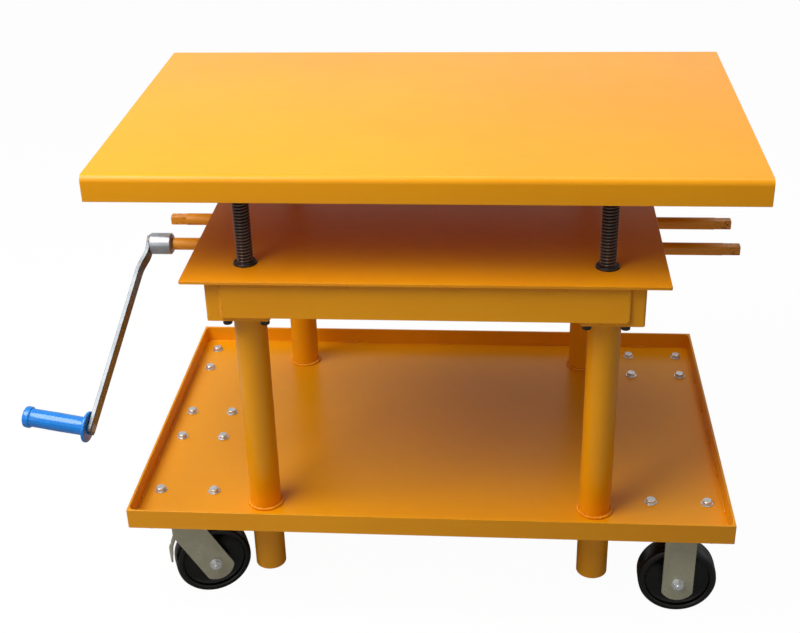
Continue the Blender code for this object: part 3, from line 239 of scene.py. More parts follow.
# The enamel's own look: faint tint changes from spraying, orange peel and specks of dust.
enamel_look, given, gives = effect_group(
    "enamel_look",
    [
        ("Place", VECTOR, None), ("Colour", COLOUR, None), ("Deep", COLOUR, None),
        ("Peel", FLOAT, 1.0),
    ],
    [("Colour", COLOUR), ("Roughness", FLOAT), ("Height", FLOAT)],
)
tint = ramped(enamel_look, noise(enamel_look, given["Place"], 2.6, 3.0), 0.30, 0.72)
fine_tint = ramped(enamel_look, noise(enamel_look, given["Place"], 31.0, 4.0), 0.35, 0.70)
shade = maths(
    enamel_look, "MULTIPLY_ADD", fine_tint, 0.16, maths(enamel_look, "MULTIPLY", tint, 0.5)
)
sprayed = blended(enamel_look, shade, given["Colour"], given["Deep"])
speck = ramped(enamel_look, noise(enamel_look, given["Place"], 330.0, 1.0), 0.80, 0.83)
specked = blended(
    enamel_look, maths(enamel_look, "MULTIPLY", speck, 0.4), sprayed, linear(150, 88, 14)
)
handled = noise(enamel_look, given["Place"], 9.0, 5.0, 0.65)
sheen = maths(enamel_look, "MULTIPLY_ADD", handled, 0.12, 0.24)
peel = maths(
    enamel_look, "MULTIPLY_ADD", noise(enamel_look, given["Place"], 300.0, 2.0), given["Peel"],
    maths(enamel_look, "MULTIPLY", noise(enamel_look, given["Place"], 70.0, 2.0), 1.4),
)
feed(enamel_look, gives, Colour=specked, Roughness=sheen, Height=peel)

# How near a point lies to the edges of an upright box, broken up like worn paint.
box_edges, given, gives = effect_group(
    "box_edges",
    [
        ("Place", VECTOR, None), ("Centre", VECTOR, None), ("Half", VECTOR, None),
        ("Width", FLOAT, 0.004),
    ],
    [("Edge", FLOAT), ("Chip", FLOAT)],
)
offset = step(
    box_edges, "ShaderNodeVectorMath", {"operation": "SUBTRACT"}, nth0=given["Place"],
    nth1=given["Centre"],
)
away = step(box_edges, "ShaderNodeVectorMath", {"operation": "ABSOLUTE"}, nth0=offset.outputs[0])
inward = step(
    box_edges, "ShaderNodeVectorMath", {"operation": "SUBTRACT"}, nth0=given["Half"],
    nth1=away.outputs[0],
)
parts = step(box_edges, "ShaderNodeSeparateXYZ", None, Vector=inward.outputs[0]).outputs
nearer = maths(box_edges, "MINIMUM", parts[0], parts[1])
farther = maths(box_edges, "MAXIMUM", parts[0], parts[1])
second = maths(box_edges, "MAXIMUM", nearer, maths(box_edges, "MINIMUM", farther, parts[2]))
closeness = maths(
    box_edges, "SUBTRACT", 1.0, maths(box_edges, "DIVIDE", second, given["Width"]), clamp=True
)
broken = noise(box_edges, given["Place"], 46.0, 6.0, 0.7)
edge_wear = maths(box_edges, "MULTIPLY", closeness, ramped(box_edges, broken, 0.30, 0.62))
chips = maths(box_edges, "ADD", maths(box_edges, "MULTIPLY", closeness, 0.17), broken)
feed(box_edges, gives, Edge=edge_wear, Chip=ramped(box_edges, chips, 0.865, 0.885))


def enamel(name, centre, half, width=0.004, colour=(243, 162, 6), deep=(236, 152, 4), peel=1.0):
    """Orange enamel on a piece that fills a box, thin and lighter along the box's edges."""
    material, tree, shader, place = material_tree(name)
    look = grouped(
        tree, enamel_look, Place=place, Colour=linear(*colour), Deep=linear(*deep), Peel=peel
    )
    edges = grouped(tree, box_edges, Place=place, Centre=centre, Half=half, Width=width)
    chip = edges["Chip"]
    thinness = maths(tree, "MULTIPLY", edges["Edge"], 0.12)
    thin = blended(tree, thinness, look["Colour"], linear(250, 182, 52))
    chipped = blended(tree, chip, thin, linear(62, 48, 36))
    rough = maths(tree, "MULTIPLY_ADD", chip, 0.3, look["Roughness"])
    feed(tree, shader, Base_Color=chipped, Roughness=rough, Specular_IOR_Level=0.32)
    bumped(tree, shader, maths(tree, "MULTIPLY_ADD", chip, -3.0, look["Height"]), 0.12, 0.0006)
    return material


def boxed_enamel(name, node, **looks):
    """Enamel whose edges are those of a node's box."""
    low, high = (Vector(corner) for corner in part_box(node))
    return enamel(name, (low + high) / 2, (high - low) / 2, **looks)


def deck_section(inset):
    """The deck across its depth, in (y, z), inset by the sheet for the hollow."""
    half = DECK_HALF.y - inset
    bend = DECK_BEND - inset
    outline = [(-half, DECK_TOP - SKIRT - inset), (half, DECK_TOP - SKIRT - inset)]
    outline += arc(half - bend, DECK_TOP - inset - bend, bend, 0, 90, 8)
    outline += arc(bend - half, DECK_TOP - inset - bend, bend, 90, 180, 8)
    return outline


deck_hollow = extruded(
    deck_section(DECK_SHEET), DECK_SHEET - DECK_HALF.x, DECK_HALF.x - DECK_SHEET, AXIS_X
)
deck_sheet = extruded(deck_section(0), -DECK_HALF.x, DECK_HALF.x, AXIS_X)
deck_enamel = boxed_enamel("deck_enamel", "deck", width=0.005)
finished(
    "deck_sheet", shaped(deck_sheet, (deck_hollow, "DIFFERENCE")), "lift_deck", deck_enamel,
    "orange_paint", "deck", edge=0.0011,
)
for rail in ("deck_rail_left", "deck_rail_right"):
    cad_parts[rail].data.materials[0] = boxed_enamel(rail + "_enamel", rail)

# Lift screws
# Four 1-1/4 inch screws, fixed to the deck's rails so that they don't turn, with a
# rolled right-hand thread of four turns an inch, blackened and oiled.
POST_X = 0.340
POST_Y = 0.2974
SCREW_DIAMETER = 0.03175
SCREW_LEAD = 0.00635
POSTS = {
    "front_left": (-POST_X, -POST_Y), "front_right": (POST_X, -POST_Y),
    "back_left": (-POST_X, POST_Y), "back_right": (POST_X, POST_Y),
}


def geometry_tree(name, inputs):
    """An empty Geometry Nodes tree with named inputs, and its two end nodes."""
    tree = bpy.data.node_groups.new(name, "GeometryNodeTree")
    tree.interface.new_socket("Geometry", in_out="INPUT", socket_type="NodeSocketGeometry")
    for label, kind, value in inputs:
        socket = tree.interface.new_socket(label, in_out="INPUT", socket_type=kind)
        if value is not None:
            socket.default_value = value
    tree.interface.new_socket("Geometry", in_out="OUTPUT", socket_type="NodeSocketGeometry")
    return tree, tree.nodes.new("NodeGroupInput").outputs, tree.nodes.new("NodeGroupOutput")


def hand_out(tree, made, finish, gives, smooth=False):
    """Makes what a tree has laid into one coated mesh and hands it out."""
    real = step(tree, "GeometryNodeRealizeInstances", None, Geometry=made.outputs[0])
    if smooth:
        real = step(tree, "GeometryNodeSetShadeSmooth", None, Geometry=real.outputs[0])
    coated = step(tree, "GeometryNodeSetMaterial", None, Geometry=real.outputs[0], Material=finish)
    feed(tree, gives, Geometry=coated.outputs[0])


def grown(base, tree, **values):
    """The plain mesh that a Geometry Nodes tree makes from an object, which is removed."""
    if base.name not in bpy.context.scene.collection.objects:
        bpy.context.scene.collection.objects.link(base)
    modifier = base.modifiers.new("grown", "NODES")
    modifier.node_group = tree
    for item in tree.interface.items_tree:
        if item.in_out == "INPUT" and item.name.replace(" ", "_") in values:
            modifier[item.identifier] = values[item.name.replace(" ", "_")]
    mesh = bpy.data.meshes.new_from_object(
        base.evaluated_get(bpy.context.evaluated_depsgraph_get())
    )
    bpy.data.objects.remove(base)
    return mesh


thread_tree, given, gives = geometry_tree(
    "rolled_thread",
    [
        ("Length", FLOAT, 0.7), ("Radius", FLOAT, 0.015875), ("Lead", FLOAT, 0.00635),
        ("Depth", FLOAT, 0.0032), ("Around", "NodeSocketInt", 32), ("Rows", "NodeSocketInt", 900),
        ("Finish", "NodeSocketMaterial", None),
    ],
)
rod = step(
    thread_tree, "GeometryNodeMeshCylinder", {"fill_type": "NGON"}, Vertices=given["Around"],
    Side_Segments=given["Rows"], Radius=given["Radius"], Depth=given["Length"],
)
at = step(
    thread_tree, "ShaderNodeSeparateXYZ", None,
    Vector=thread_tree.nodes.new("GeometryNodeInputPosition").outputs[0],
).outputs
turn = maths(thread_tree, "DIVIDE", maths(thread_tree, "ARCTAN2", at[1], at[0]), 2 * math.pi)
phase = maths(
    thread_tree, "FRACT",
    maths(thread_tree, "SUBTRACT", maths(thread_tree, "DIVIDE", at[2], given["Lead"]), turn),
)
flank = maths(thread_tree, "ABSOLUTE", maths(thread_tree, "MULTIPLY_ADD", phase, 2.0, -1.0))
cut_in = ramped(thread_tree, flank, 0.30, 0.80)
nearness = maths(
    thread_tree, "SUBTRACT", maths(thread_tree, "MULTIPLY", given["Length"], 0.5),
    maths(thread_tree, "ABSOLUTE", at[2]),
)
point = maths(thread_tree, "SUBTRACT", 1.0, ramped(thread_tree, nearness, 0.0, 0.003))
sunk = maths(thread_tree, "MULTIPLY", maths(thread_tree, "MAXIMUM", cut_in, point), given["Depth"])
share = maths(thread_tree, "SUBTRACT", 1.0, maths(thread_tree, "DIVIDE", sunk, given["Radius"]))
spread = step(
    thread_tree, "ShaderNodeCombineXYZ", None, X=maths(thread_tree, "MULTIPLY", at[0], share),
    Y=maths(thread_tree, "MULTIPLY", at[1], share), Z=at[2],
)
height = maths(thread_tree, "SUBTRACT", 1.0, maths(thread_tree, "MAXIMUM", cut_in, point))
marked = step(
    thread_tree, "GeometryNodeStoreNamedAttribute", {"data_type": "FLOAT", "domain": "POINT"},
    Geometry=rod.outputs["Mesh"], Name="crest", Value=height,
)
cut_rod = step(
    thread_tree, "GeometryNodeSetPosition", None, Geometry=marked.outputs[0],
    Position=spread.outputs[0],
)
hand_out(thread_tree, cut_rod, given["Finish"], gives)

black_oxide, tree, shader, place = material_tree("black_oxide")
oil = noise(tree, place, 55.0, 4.0, 0.6)
rub = ramped(tree, noise(tree, place, 210.0, 3.0), 0.52, 0.75)
blackened = blended(tree, oil, linear(34, 32, 33), linear(60, 54, 50))
feed(
    tree, shader,
    Base_Color=blended(tree, maths(tree, "MULTIPLY", rub, 0.4), blackened, linear(122, 112, 104)),
    Roughness=maths(tree, "MULTIPLY_ADD", oil, 0.35, 0.22),
    Metallic=maths(tree, "MULTIPLY_ADD", rub, 0.3, 0.55),
)
bumped(tree, shader, noise(tree, place, 900.0, 2.0), 0.12, 0.0003)

# The crests of the thread are rubbed bright by the nuts and oil sits in the roots, and the
# colour adds painted highlight on the crests and painted shade in the roots.
screw_steel, tree, shader, place = material_tree("screw_steel")
crest_height = step(tree, "ShaderNodeAttribute", {"attribute_name": "crest"}).outputs["Fac"]
oil = noise(tree, place, 40.0, 4.0, 0.6)
crest = maths(tree, "MULTIPLY", crest_height, maths(tree, "MULTIPLY_ADD", oil, 0.5, 0.6))
feed(
    tree, shader, Base_Color=blended(tree, crest, linear(16, 14, 14), linear(116, 102, 94)),
    Roughness=maths(tree, "MULTIPLY_ADD", oil, 0.3, 0.2),
    Metallic=maths(tree, "MULTIPLY_ADD", oil, 0.3, 0.5),
)
bumped(tree, shader, noise(tree, place, 900.0, 2.0), 0.1, 0.0003)

for post, (x, y) in POSTS.items():
    low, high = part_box(f"lift_screw_{post}")
    length = high[2] - low[2]
    seed = bpy.data.objects.new("screw_seed", bpy.data.meshes.new("screw_seed"))
    thread = grown(
        seed, thread_tree, Length=length, Radius=SCREW_DIAMETER / 2, Lead=SCREW_LEAD,
        Rows=round(length / SCREW_LEAD * 8), Finish=screw_steel,
    )
    thread = moved(thread, x, y, (low[2] + high[2]) / 2)
    finished(
        f"screw_thread_{post}", thread, "lift_deck", screw_steel, "black_steel",
        f"lift_screw_{post}",
    )

# Top frame
# A 6 mm plate welded over two folded channels at the ends and a flat bar at the front
# and the back. Thick pads in the corners carry the nuts and take the legs' screws.
SEAT_GAP = 0.0003
PLATE_TOP = 0.7762
PLATE_THICK = 0.00635
PLATE_HALF = (0.451, 0.381)
FRAME_HALF = (0.4085, 0.364)
FRAME_BOTTOM = 0.6855
FRAME_TOP = PLATE_TOP - PLATE_THICK - SEAT_GAP
END_SHEET = 0.0063
END_RETURN = 0.052
PAD_THICK = 0.0095
PAD_REACH = 0.1159
BAR_HALF = 0.376
BAR_THICK = 0.006
COLLAR = 0.0444
SHAFT_Y = 0.0635
SHAFT_Z = 0.7053
SHAFT_DIAMETER = 0.0254
SHAFT_HOLE = 0.026
COLLAR_CLEARANCE = 0.0012


def rounded_rectangle(half_x, half_y, corner, steps=6, x=0.0, y=0.0):
    """A rectangle round a point, with round corners."""
    points = []
    for index, (sx, sy) in enumerate(((1, 1), (-1, 1), (-1, -1), (1, -1))):
        centre = (x + sx * (half_x - corner), y + sy * (half_y - corner))
        points += arc(*centre, corner, index * 90, index * 90 + 90, steps)
    return points


def turned(profile, around=64, axis=None, ring=False):
    """A profile of (radius, height) turned round Z, or round X or Y with an axis."""
    bm = bmesh.new()
    rows = []
    for radius, height in profile:
        if radius <= 0:
            rows.append([bm.verts.new((0, 0, height))] * around)
            continue
        angles = [2 * math.pi * i / around for i in range(around)]
        rows.append(
            [bm.verts.new((radius * math.cos(a), radius * math.sin(a), height)) for a in angles]
        )
    pairs = list(zip(rows, rows[1:]))
    if ring:
        pairs.append((rows[-1], rows[0]))
    for upper, lower in pairs:
        for i in range(around):
            j = (i + 1) % around
            corners = list(dict.fromkeys((upper[i], upper[j], lower[j], lower[i])))
            if len(corners) > 2:
                bm.faces.new(corners)
    bmesh.ops.recalc_face_normals(bm, faces=bm.faces)
    mesh = bpy.data.meshes.new("turned")
    bm.to_mesh(mesh)
    bm.free()
    if axis is not None:
        mesh.transform(axis)
    return mesh


def drill(diameter, low, high, x=0.0, y=0.0, z=0.0, axis=None, around=48):
    """A cutter for a round hole."""
    radius = diameter / 2
    return moved(
        turned([(0, high), (radius, high), (radius, low), (0, low)], around, axis), x, y, z
    )


plate = extruded(rounded_rectangle(*PLATE_HALF, 0.003, 3), PLATE_TOP - PLATE_THICK, PLATE_TOP)
plate_holes = [drill(COLLAR + COLLAR_CLEARANCE, 0.7, 0.8, x, y) for x, y in POSTS.values()]
plate = shaped(plate, (joined(plate_holes), "DIFFERENCE"))
finished(
    "frame_plate", plate, "frame",
    boxed_enamel(
        "plate_enamel", "top_plate", width=0.003, colour=(240, 155, 6), deep=(228, 137, 4)
    ),
    "orange_paint", "top_plate", edge=0.0009,
)


def pad(y):
    """A corner pad at the right end, with its inner corners cut off."""
    side = math.copysign(1, y)
    far_x, far_y = FRAME_HALF[0] - 0.003, FRAME_HALF[1] - 0.0002
    near_x, near_y = far_x - PAD_REACH, far_y - PAD_REACH
    plan = [(far_x, far_y), (near_x + 0.004, far_y), (near_x, far_y - 0.004)]
    plan += [(near_x, near_y + 0.014), (near_x + 0.014, near_y), (far_x, near_y)]
    return extruded([(i, side * j) for i, j in plan], FRAME_BOTTOM, FRAME_BOTTOM + PAD_THICK)


def channel_outline():
    """The folded channel at the right end in plan, with round folds."""
    x, y = FRAME_HALF
    fold = 0.006
    outline = arc(x - fold, fold - y, fold, -90, 0, 5) + arc(x - fold, y - fold, fold, 0, 90, 5)
    outline += [
        (x - END_RETURN, y), (x - END_RETURN, y - END_SHEET), (x - END_SHEET, y - END_SHEET)
    ]
    return outline + [
        (x - END_SHEET, END_SHEET - y), (x - END_RETURN, END_SHEET - y), (x - END_RETURN, -y)
    ]


channel = extruded(channel_outline(), FRAME_BOTTOM, FRAME_TOP)
shaft_holes = [drill(SHAFT_HOLE, 0.38, 0.43, 0, y, SHAFT_Z, AXIS_X) for y in (-SHAFT_Y, SHAFT_Y)]
channel = shaped(channel, (joined([pad(-1), pad(1)]), "UNION"), (joined(shaft_holes), "DIFFERENCE"))
for side, turn_by in (("right", 0), ("left", math.pi)):
    end = channel.copy()
    end.transform(Matrix.Rotation(turn_by, 4, "Z"))
    finished(
        f"end_channel_{side}", end, "frame",
        boxed_enamel(f"end_channel_{side}_enamel", f"frame_end_{side}", width=0.003),
        "orange_paint", f"frame_end_{side}", edge=0.0007,
    )
for side, sign in (("front", -1), ("back", 1)):
    near = sign * (FRAME_HALF[1] + SEAT_GAP)
    far = sign * (FRAME_HALF[1] + SEAT_GAP + BAR_THICK)
    plan = [(-BAR_HALF, near), (BAR_HALF, near), (BAR_HALF, far), (-BAR_HALF, far)]
    finished(
        f"long_bar_{side}", extruded(plan, FRAME_BOTTOM + PAD_THICK + SEAT_GAP, FRAME_TOP), "frame",
        boxed_enamel(f"long_bar_{side}_enamel", f"frame_bar_{side}", width=0.003), "orange_paint",
        f"frame_bar_{side}", edge=0.0009,
    )
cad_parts["gear_cross_bar"].data.materials[0] = boxed_enamel(
    "gear_cross_bar_enamel", "gear_cross_bar"
)

# Weld beads
# The frame's corners, the legs and the tray's rim are welded by hand. Each bead is a row
# of overlapping ripples, coated with the same enamel.
bead_tree, given, gives = geometry_tree(
    "weld_bead",
    [
        ("Width", FLOAT, 0.006), ("Pitch", FLOAT, 0.0022), ("Seed", "NodeSocketInt", 3),
        ("Finish", "NodeSocketMaterial", None),
    ],
)
path = step(bead_tree, "GeometryNodeMeshToCurve", None, Mesh=given["Geometry"])
even = step(
    bead_tree, "GeometryNodeResampleCurve", {"mode": "LENGTH"}, Curve=path.outputs[0],
    Length=given["Pitch"],
)
ripple = step(bead_tree, "GeometryNodeMeshUVSphere", None, Segments=10, Rings=6, Radius=0.5)
along = step(
    bead_tree, "FunctionNodeAlignRotationToVector", {"axis": "X"},
    Vector=bead_tree.nodes.new("GeometryNodeInputTangent").outputs[0],
)
uneven = step(
    bead_tree, "FunctionNodeRandomValue", {"data_type": "FLOAT"}, nth2=0.86, nth3=1.14,
    Seed=given["Seed"],
)
wide = maths(bead_tree, "MULTIPLY", given["Width"], uneven.outputs[1])
size = step(
    bead_tree, "ShaderNodeCombineXYZ", None, X=maths(bead_tree, "MULTIPLY", given["Pitch"], 2.6),
    Y=wide, Z=wide,
)
laid = step(
    bead_tree, "GeometryNodeInstanceOnPoints", None, Points=even.outputs[0],
    Instance=ripple.outputs[0], Rotation=along.outputs[0], Scale=size.outputs[0],
)
hand_out(bead_tree, laid, given["Finish"], gives, smooth=True)
# Its box lies far below the table, so that no edge wear falls on the beads.
bead_enamel = enamel("bead_enamel", (0, 0, -5), (1, 1, 1), peel=1.6, deep=(230, 142, 8))


def bead_mesh(lines, width, finish, pitch=0.0022, seed=3):
    """Weld beads along lines of points, each a list that may close on itself."""
    mesh = bpy.data.meshes.new("bead_lines")
    points = []
    edges = []
    for line in lines:
        start = len(points)
        points += line
        edges += [(start + i, start + i + 1) for i in range(len(line) - 1)]
    mesh.from_pydata(points, edges, [])
    lines = bpy.data.objects.new("bead_lines", mesh)
    return grown(lines, bead_tree, Width=width, Pitch=pitch, Seed=seed, Finish=finish)


def level_ring(x, y, z, radius, steps=48):
    """A closed ring of points round an upright axis."""
    return [(*point, z) for point in arc(x, y, radius, 0, 360, steps)]


corner_lines = []
for side in (-1, 1):
    for end in (-1, 1):
        x = end * (BAR_HALF + 0.0005)
        y = side * (FRAME_HALF[1] + 0.0022)
        corner_lines.append([(x, y, FRAME_TOP - 0.003), (x, y, FRAME_BOTTOM + PAD_THICK + 0.004)])
        foot = FRAME_BOTTOM + PAD_THICK - 0.0005
        corner_lines.append(
            [
                (x, side * (FRAME_HALF[1] + 0.001), foot),
                (x - end * 0.075, side * (FRAME_HALF[1] + 0.001), foot),
            ]
        )
for start in (-0.33, -0.19, 0.02, 0.21):
    for side in (-1, 1):
        y = side * (FRAME_HALF[1] + 0.0080)
        corner_lines.append([(start, y, FRAME_TOP - 0.0035), (start + 0.05, y, FRAME_TOP - 0.0035)])
finished(
    "frame_welds", bead_mesh(corner_lines, 0.0085, bead_enamel), "frame", bead_enamel,
    "orange_paint",
)

# Legs
# Four 2-1/2 inch tubes that pass through the tray and are welded to it, with a square
# flange welded on top. Four socket head screws hold each flange to its corner pad.
LEG_DIAMETER = 0.0635
LEG_WALL = 0.0048
LEG_BOTTOM = 0.0705
FLANGE_HALF = 0.0475
FLANGE_THICK = 0.0095
FLANGE_CORNER = 0.009
FLANGE_HOLE = 0.036
FLANGE_TOP = FRAME_BOTTOM - SEAT_GAP
FLANGE_BOTTOM = FLANGE_TOP - FLANGE_THICK
LEG_BOLTS = 0.036
TRAY_TOP = 0.22435

for post, (x, y) in POSTS.items():
    outer = LEG_DIAMETER / 2
    tube = turned(
        [
            (outer, FLANGE_BOTTOM), (outer, LEG_BOTTOM), (outer - LEG_WALL, LEG_BOTTOM),
            (outer - LEG_WALL, FLANGE_BOTTOM),
        ],
        72,
        ring=True,
    )
    flange = extruded(
        rounded_rectangle(FLANGE_HALF, FLANGE_HALF, FLANGE_CORNER), FLANGE_BOTTOM - 0.0002,
        FLANGE_TOP,
    )
    flange = shaped(flange, (drill(FLANGE_HOLE, 0.6, 0.7), "DIFFERENCE"))
    low, high = (Vector(corner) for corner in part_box(f"leg_{post}"))
    # The box is far wider than the leg, so that no edge wear falls on the tube.
    leg_enamel = enamel(
        f"leg_{post}_enamel", (low + high) / 2, Vector((0.5, 0.5, (high.z - low.z) / 2)),
        width=0.003,
    )
    finished(
        f"leg_tube_{post}", moved(joined([tube, flange]), x, y), "frame", leg_enamel,
        "orange_paint", f"leg_{post}", edge=0.0008,
    )
leg_rings = []
for x, y in POSTS.values():
    leg_rings.append(level_ring(x, y, TRAY_TOP + 0.0022, LEG_DIAMETER / 2 + 0.0018))
    leg_rings.append(level_ring(x, y, FLANGE_BOTTOM - 0.0020, LEG_DIAMETER / 2 + 0.0014))
finished(
    "leg_welds", bead_mesh(leg_rings, 0.0075, bead_enamel, seed=8), "frame", bead_enamel,
    "orange_paint",
)

pattern_tree, given, gives = geometry_tree(
    "fastener_pattern",
    [
        ("Fastener", "NodeSocketObject", None), ("Seed", "NodeSocketInt", 5),
        ("Finish", "NodeSocketMaterial", None),
    ],
)
places = step(pattern_tree, "GeometryNodeMeshToPoints", None, Mesh=given["Geometry"])
shape = step(
    pattern_tree, "GeometryNodeObjectInfo", {"transform_space": "ORIGINAL"},
    Object=given["Fastener"],
)
tightened = step(
    pattern_tree, "FunctionNodeRandomValue", {"data_type": "FLOAT_VECTOR"}, nth0=(0, 0, 0),
    nth1=(0, 0, math.pi), Seed=given["Seed"],
)
laid = step(
    pattern_tree, "GeometryNodeInstanceOnPoints", None, Points=places.outputs[0],
    Instance=shape.outputs["Geometry"], Rotation=tightened.outputs[0],
)
hand_out(pattern_tree, laid, given["Finish"], gives)


def fasteners(shape_mesh, points, finish, seed=5):
    """Copies of one fastener at several places, each tightened to its own angle."""
    shape_object = bpy.data.objects.new("one_fastener", shape_mesh)
    bpy.context.scene.collection.objects.link(shape_object)
    spots = bpy.data.meshes.new("fastener_places")
    spots.from_pydata(points, [], [])
    spots = bpy.data.objects.new("fastener_places", spots)
    mesh = grown(spots, pattern_tree, Fastener=shape_object, Seed=seed, Finish=finish)
    bpy.data.objects.remove(shape_object)
    return mesh


def hexagon(across):
    """A hexagon round the origin by its width across flats."""
    return [
        (across / math.sqrt(3) * math.cos(a), across / math.sqrt(3) * math.sin(a))
        for a in (math.pi / 3 * i for i in range(6))
    ]


CAP_HEAD = 0.018
CAP_HEIGHT = 0.0095
CAP_SOCKET = 0.010
WASHER = 0.021
WASHER_THICK = 0.0012
under = FLANGE_BOTTOM - 0.0002
cap_top = under - WASHER_THICK
cap_low = cap_top - CAP_HEIGHT
cap_head = turned(
    [
        (0, cap_top), (CAP_HEAD / 2, cap_top), (CAP_HEAD / 2, cap_low + 0.001), (0.0082, cap_low),
        (0.0055, cap_low), (0, cap_low),
    ],
    24,
)
cap_head = shaped(
    cap_head, (extruded(hexagon(CAP_SOCKET), cap_low - 0.001, cap_low + 0.006), "DIFFERENCE")
)
cap_washer = turned(
    [(0.0062, under), (WASHER / 2, under), (WASHER / 2, cap_top), (0.0062, cap_top)], 24, ring=True
)
spots = [
    (x + i * LEG_BOLTS, y + j * LEG_BOLTS, 0)
    for x, y in POSTS.values() for i in (-1, 1) for j in (-1, 1)
]
cap_screws = fasteners(joined([cap_head, cap_washer]), spots, black_oxide)
finished("leg_cap_screws", cap_screws, "frame", black_oxide, "black_steel", edge=0.0004)

# Lift nuts and thrust bearings
# Each nut turns in the frame on a thrust bearing, and only its blackened collar shows,
# where it comes up through the plate round the screw.
for post, (x, y) in POSTS.items():
    low, high = (Vector(corner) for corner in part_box(f"lift_nut_{post}"))
    bore = SCREW_DIAMETER / 2 + 0.0002
    nut_profile = [
        (COLLAR / 2 - 0.0012, high.z), (COLLAR / 2, high.z - 0.0012), (COLLAR / 2, 0.7431),
        (0.028, 0.7431), (0.028, low.z + 0.008), (0.031, low.z + 0.008), (0.031, low.z),
        (bore, low.z), (bore, high.z - 0.001), (bore + 0.001, high.z),
    ]
    finished(
        f"nut_collar_{post}", moved(turned(nut_profile, 64, ring=True), x, y), f"nut_{post}",
        black_oxide, "bronze", f"lift_nut_{post}",
    )
    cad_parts[f"nut_sprocket_{post}"].data.materials[0] = black_oxide
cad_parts["roller_chain"].data.materials[0] = black_oxide

ground_steel, tree, shader, place = material_tree("ground_steel")
turning = noise(
    tree, step(tree, "ShaderNodeMapping", None, Vector=place, Scale=(40, 40, 900)).outputs[0], 3.0,
    3.0,
)
feed(
    tree, shader, Base_Color=blended(tree, turning, linear(120, 120, 122), linear(176, 176, 178)),
    Roughness=maths(tree, "MULTIPLY_ADD", turning, 0.25, 0.22), Metallic=1.0,
)
bumped(tree, shader, turning, 0.1, 0.0003)
for node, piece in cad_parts.items():
    if node.startswith(("thrust_bearing", "bevel_", "jackshaft")):
        piece.data.materials[0] = ground_steel

# Crank shafts
# Two one-inch bars right through the frame, coated with the frame. Their ends are milled
# square for the crank, and the enamel there is rubbed by the crank's socket.
SQUARE = 0.01905
SQUARE_LENGTH = 0.034

shaft_enamel, tree, shader, place = material_tree("shaft_enamel")
shaft_orange, shaft_deep = linear(238, 156, 18), linear(220, 132, 10)
look = grouped(tree, enamel_look, Place=place, Colour=shaft_orange, Deep=shaft_deep, Peel=1.3)
across = step(tree, "ShaderNodeSeparateXYZ", None, Vector=place).outputs[0]
left_end, right_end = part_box("crank_shaft_back")[0][0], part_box("crank_shaft_back")[1][0]
from_right = maths(tree, "SUBTRACT", right_end, across)
from_left = maths(tree, "SUBTRACT", across, left_end)
to_end = maths(tree, "MINIMUM", from_right, from_left)
rubbed = maths(tree, "SUBTRACT", 1.0, ramped(tree, to_end, 0.004, 0.045))
patchy = ramped(tree, noise(tree, place, 120.0, 5.0, 0.7), 0.50, 0.60)
worn = maths(tree, "MULTIPLY", maths(tree, "MULTIPLY", rubbed, patchy), 0.75)
feed(
    tree, shader, Base_Color=blended(tree, worn, look["Colour"], linear(92, 58, 22)),
    Roughness=maths(tree, "MULTIPLY_ADD", worn, 0.3, look["Roughness"]),
)
bumped(tree, shader, maths(tree, "MULTIPLY_ADD", worn, -2.0, look["Height"]), 0.2, 0.0006)

for side, sign in (("front", -1), ("back", 1)):
    low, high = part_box(f"crank_shaft_{side}")
    left, right = low[0] - MIDDLE.x, high[0] - MIDDLE.x
    radius = SHAFT_DIAMETER / 2
    bar = turned(
        [
            (0, right), (radius - 0.001, right), (radius, right - 0.001), (radius, left + 0.001),
            (radius - 0.001, left), (0, left),
        ],
        48,
        AXIS_X,
    )
    squares = []
    for start, end in ((left - 0.01, left + SQUARE_LENGTH), (right - SQUARE_LENGTH, right + 0.01)):
        block = extruded(
            [(-0.03, -0.03), (0.03, -0.03), (0.03, 0.03), (-0.03, 0.03)], start, end, AXIS_X
        )
        core = extruded(
            rounded_rectangle(SQUARE / 2, SQUARE / 2, 0.001, 2), start - 0.01, end + 0.01, AXIS_X
        )
        squares.append(shaped(block, (core, "DIFFERENCE")))
    bar = shaped(bar, (joined(squares), "DIFFERENCE"))
    finished(
        f"crank_bar_{side}", moved(bar, 0, sign * SHAFT_Y, SHAFT_Z), f"{side}_crank_shaft",
        shaft_enamel, "orange_paint", f"crank_shaft_{side}", edge=0.0004,
    )

# Crank
# A turned hub with a square socket, and a flat bar bent to clear the table and welded to
# the hub. Both are zinc plated, and the weld is tinted brown by its heat.
SWING = math.radians(52)
HUB_RADIUS = 0.0222
HUB_LEFT = 0.588
HUB_RIGHT = 0.541
ARM_WIDTH = 0.030
ARM_THICK = 0.008
ARM_BEND = (-0.057, 0.0155)
ARM_END = (-0.408, 0.068)
ARM_TIP = 0.012
ARM_EASE = 0.012
ARM_TIP_CENTRE = -0.003

zinc_look, given, gives = effect_group(
    "zinc_look",
    [
        ("Place", VECTOR, None), ("Bright", COLOUR, None), ("Dull", COLOUR, None),
        ("Grain", FLOAT, 60.0),
    ],
    [("Colour", COLOUR), ("Roughness", FLOAT), ("Height", FLOAT)],
)
cloud = noise(zinc_look, given["Place"], given["Grain"], 5.0, 0.62)
cells = step(zinc_look, "ShaderNodeTexVoronoi", None, Vector=given["Place"], Scale=240.0)
cell_colour = cells.outputs["Color"]
spangle = step(zinc_look, "ShaderNodeSeparateColor", None, Color=cell_colour).outputs[0]
film = maths(
    zinc_look, "MULTIPLY_ADD", spangle, 0.14,
    maths(zinc_look, "MULTIPLY", ramped(zinc_look, cloud, 0.25, 0.75), 0.5),
)
feed(
    zinc_look, gives, Colour=blended(zinc_look, film, given["Bright"], given["Dull"]),
    Roughness=maths(zinc_look, "MULTIPLY_ADD", film, 0.22, 0.24),
    Height=noise(zinc_look, given["Place"], 520.0, 3.0),
)


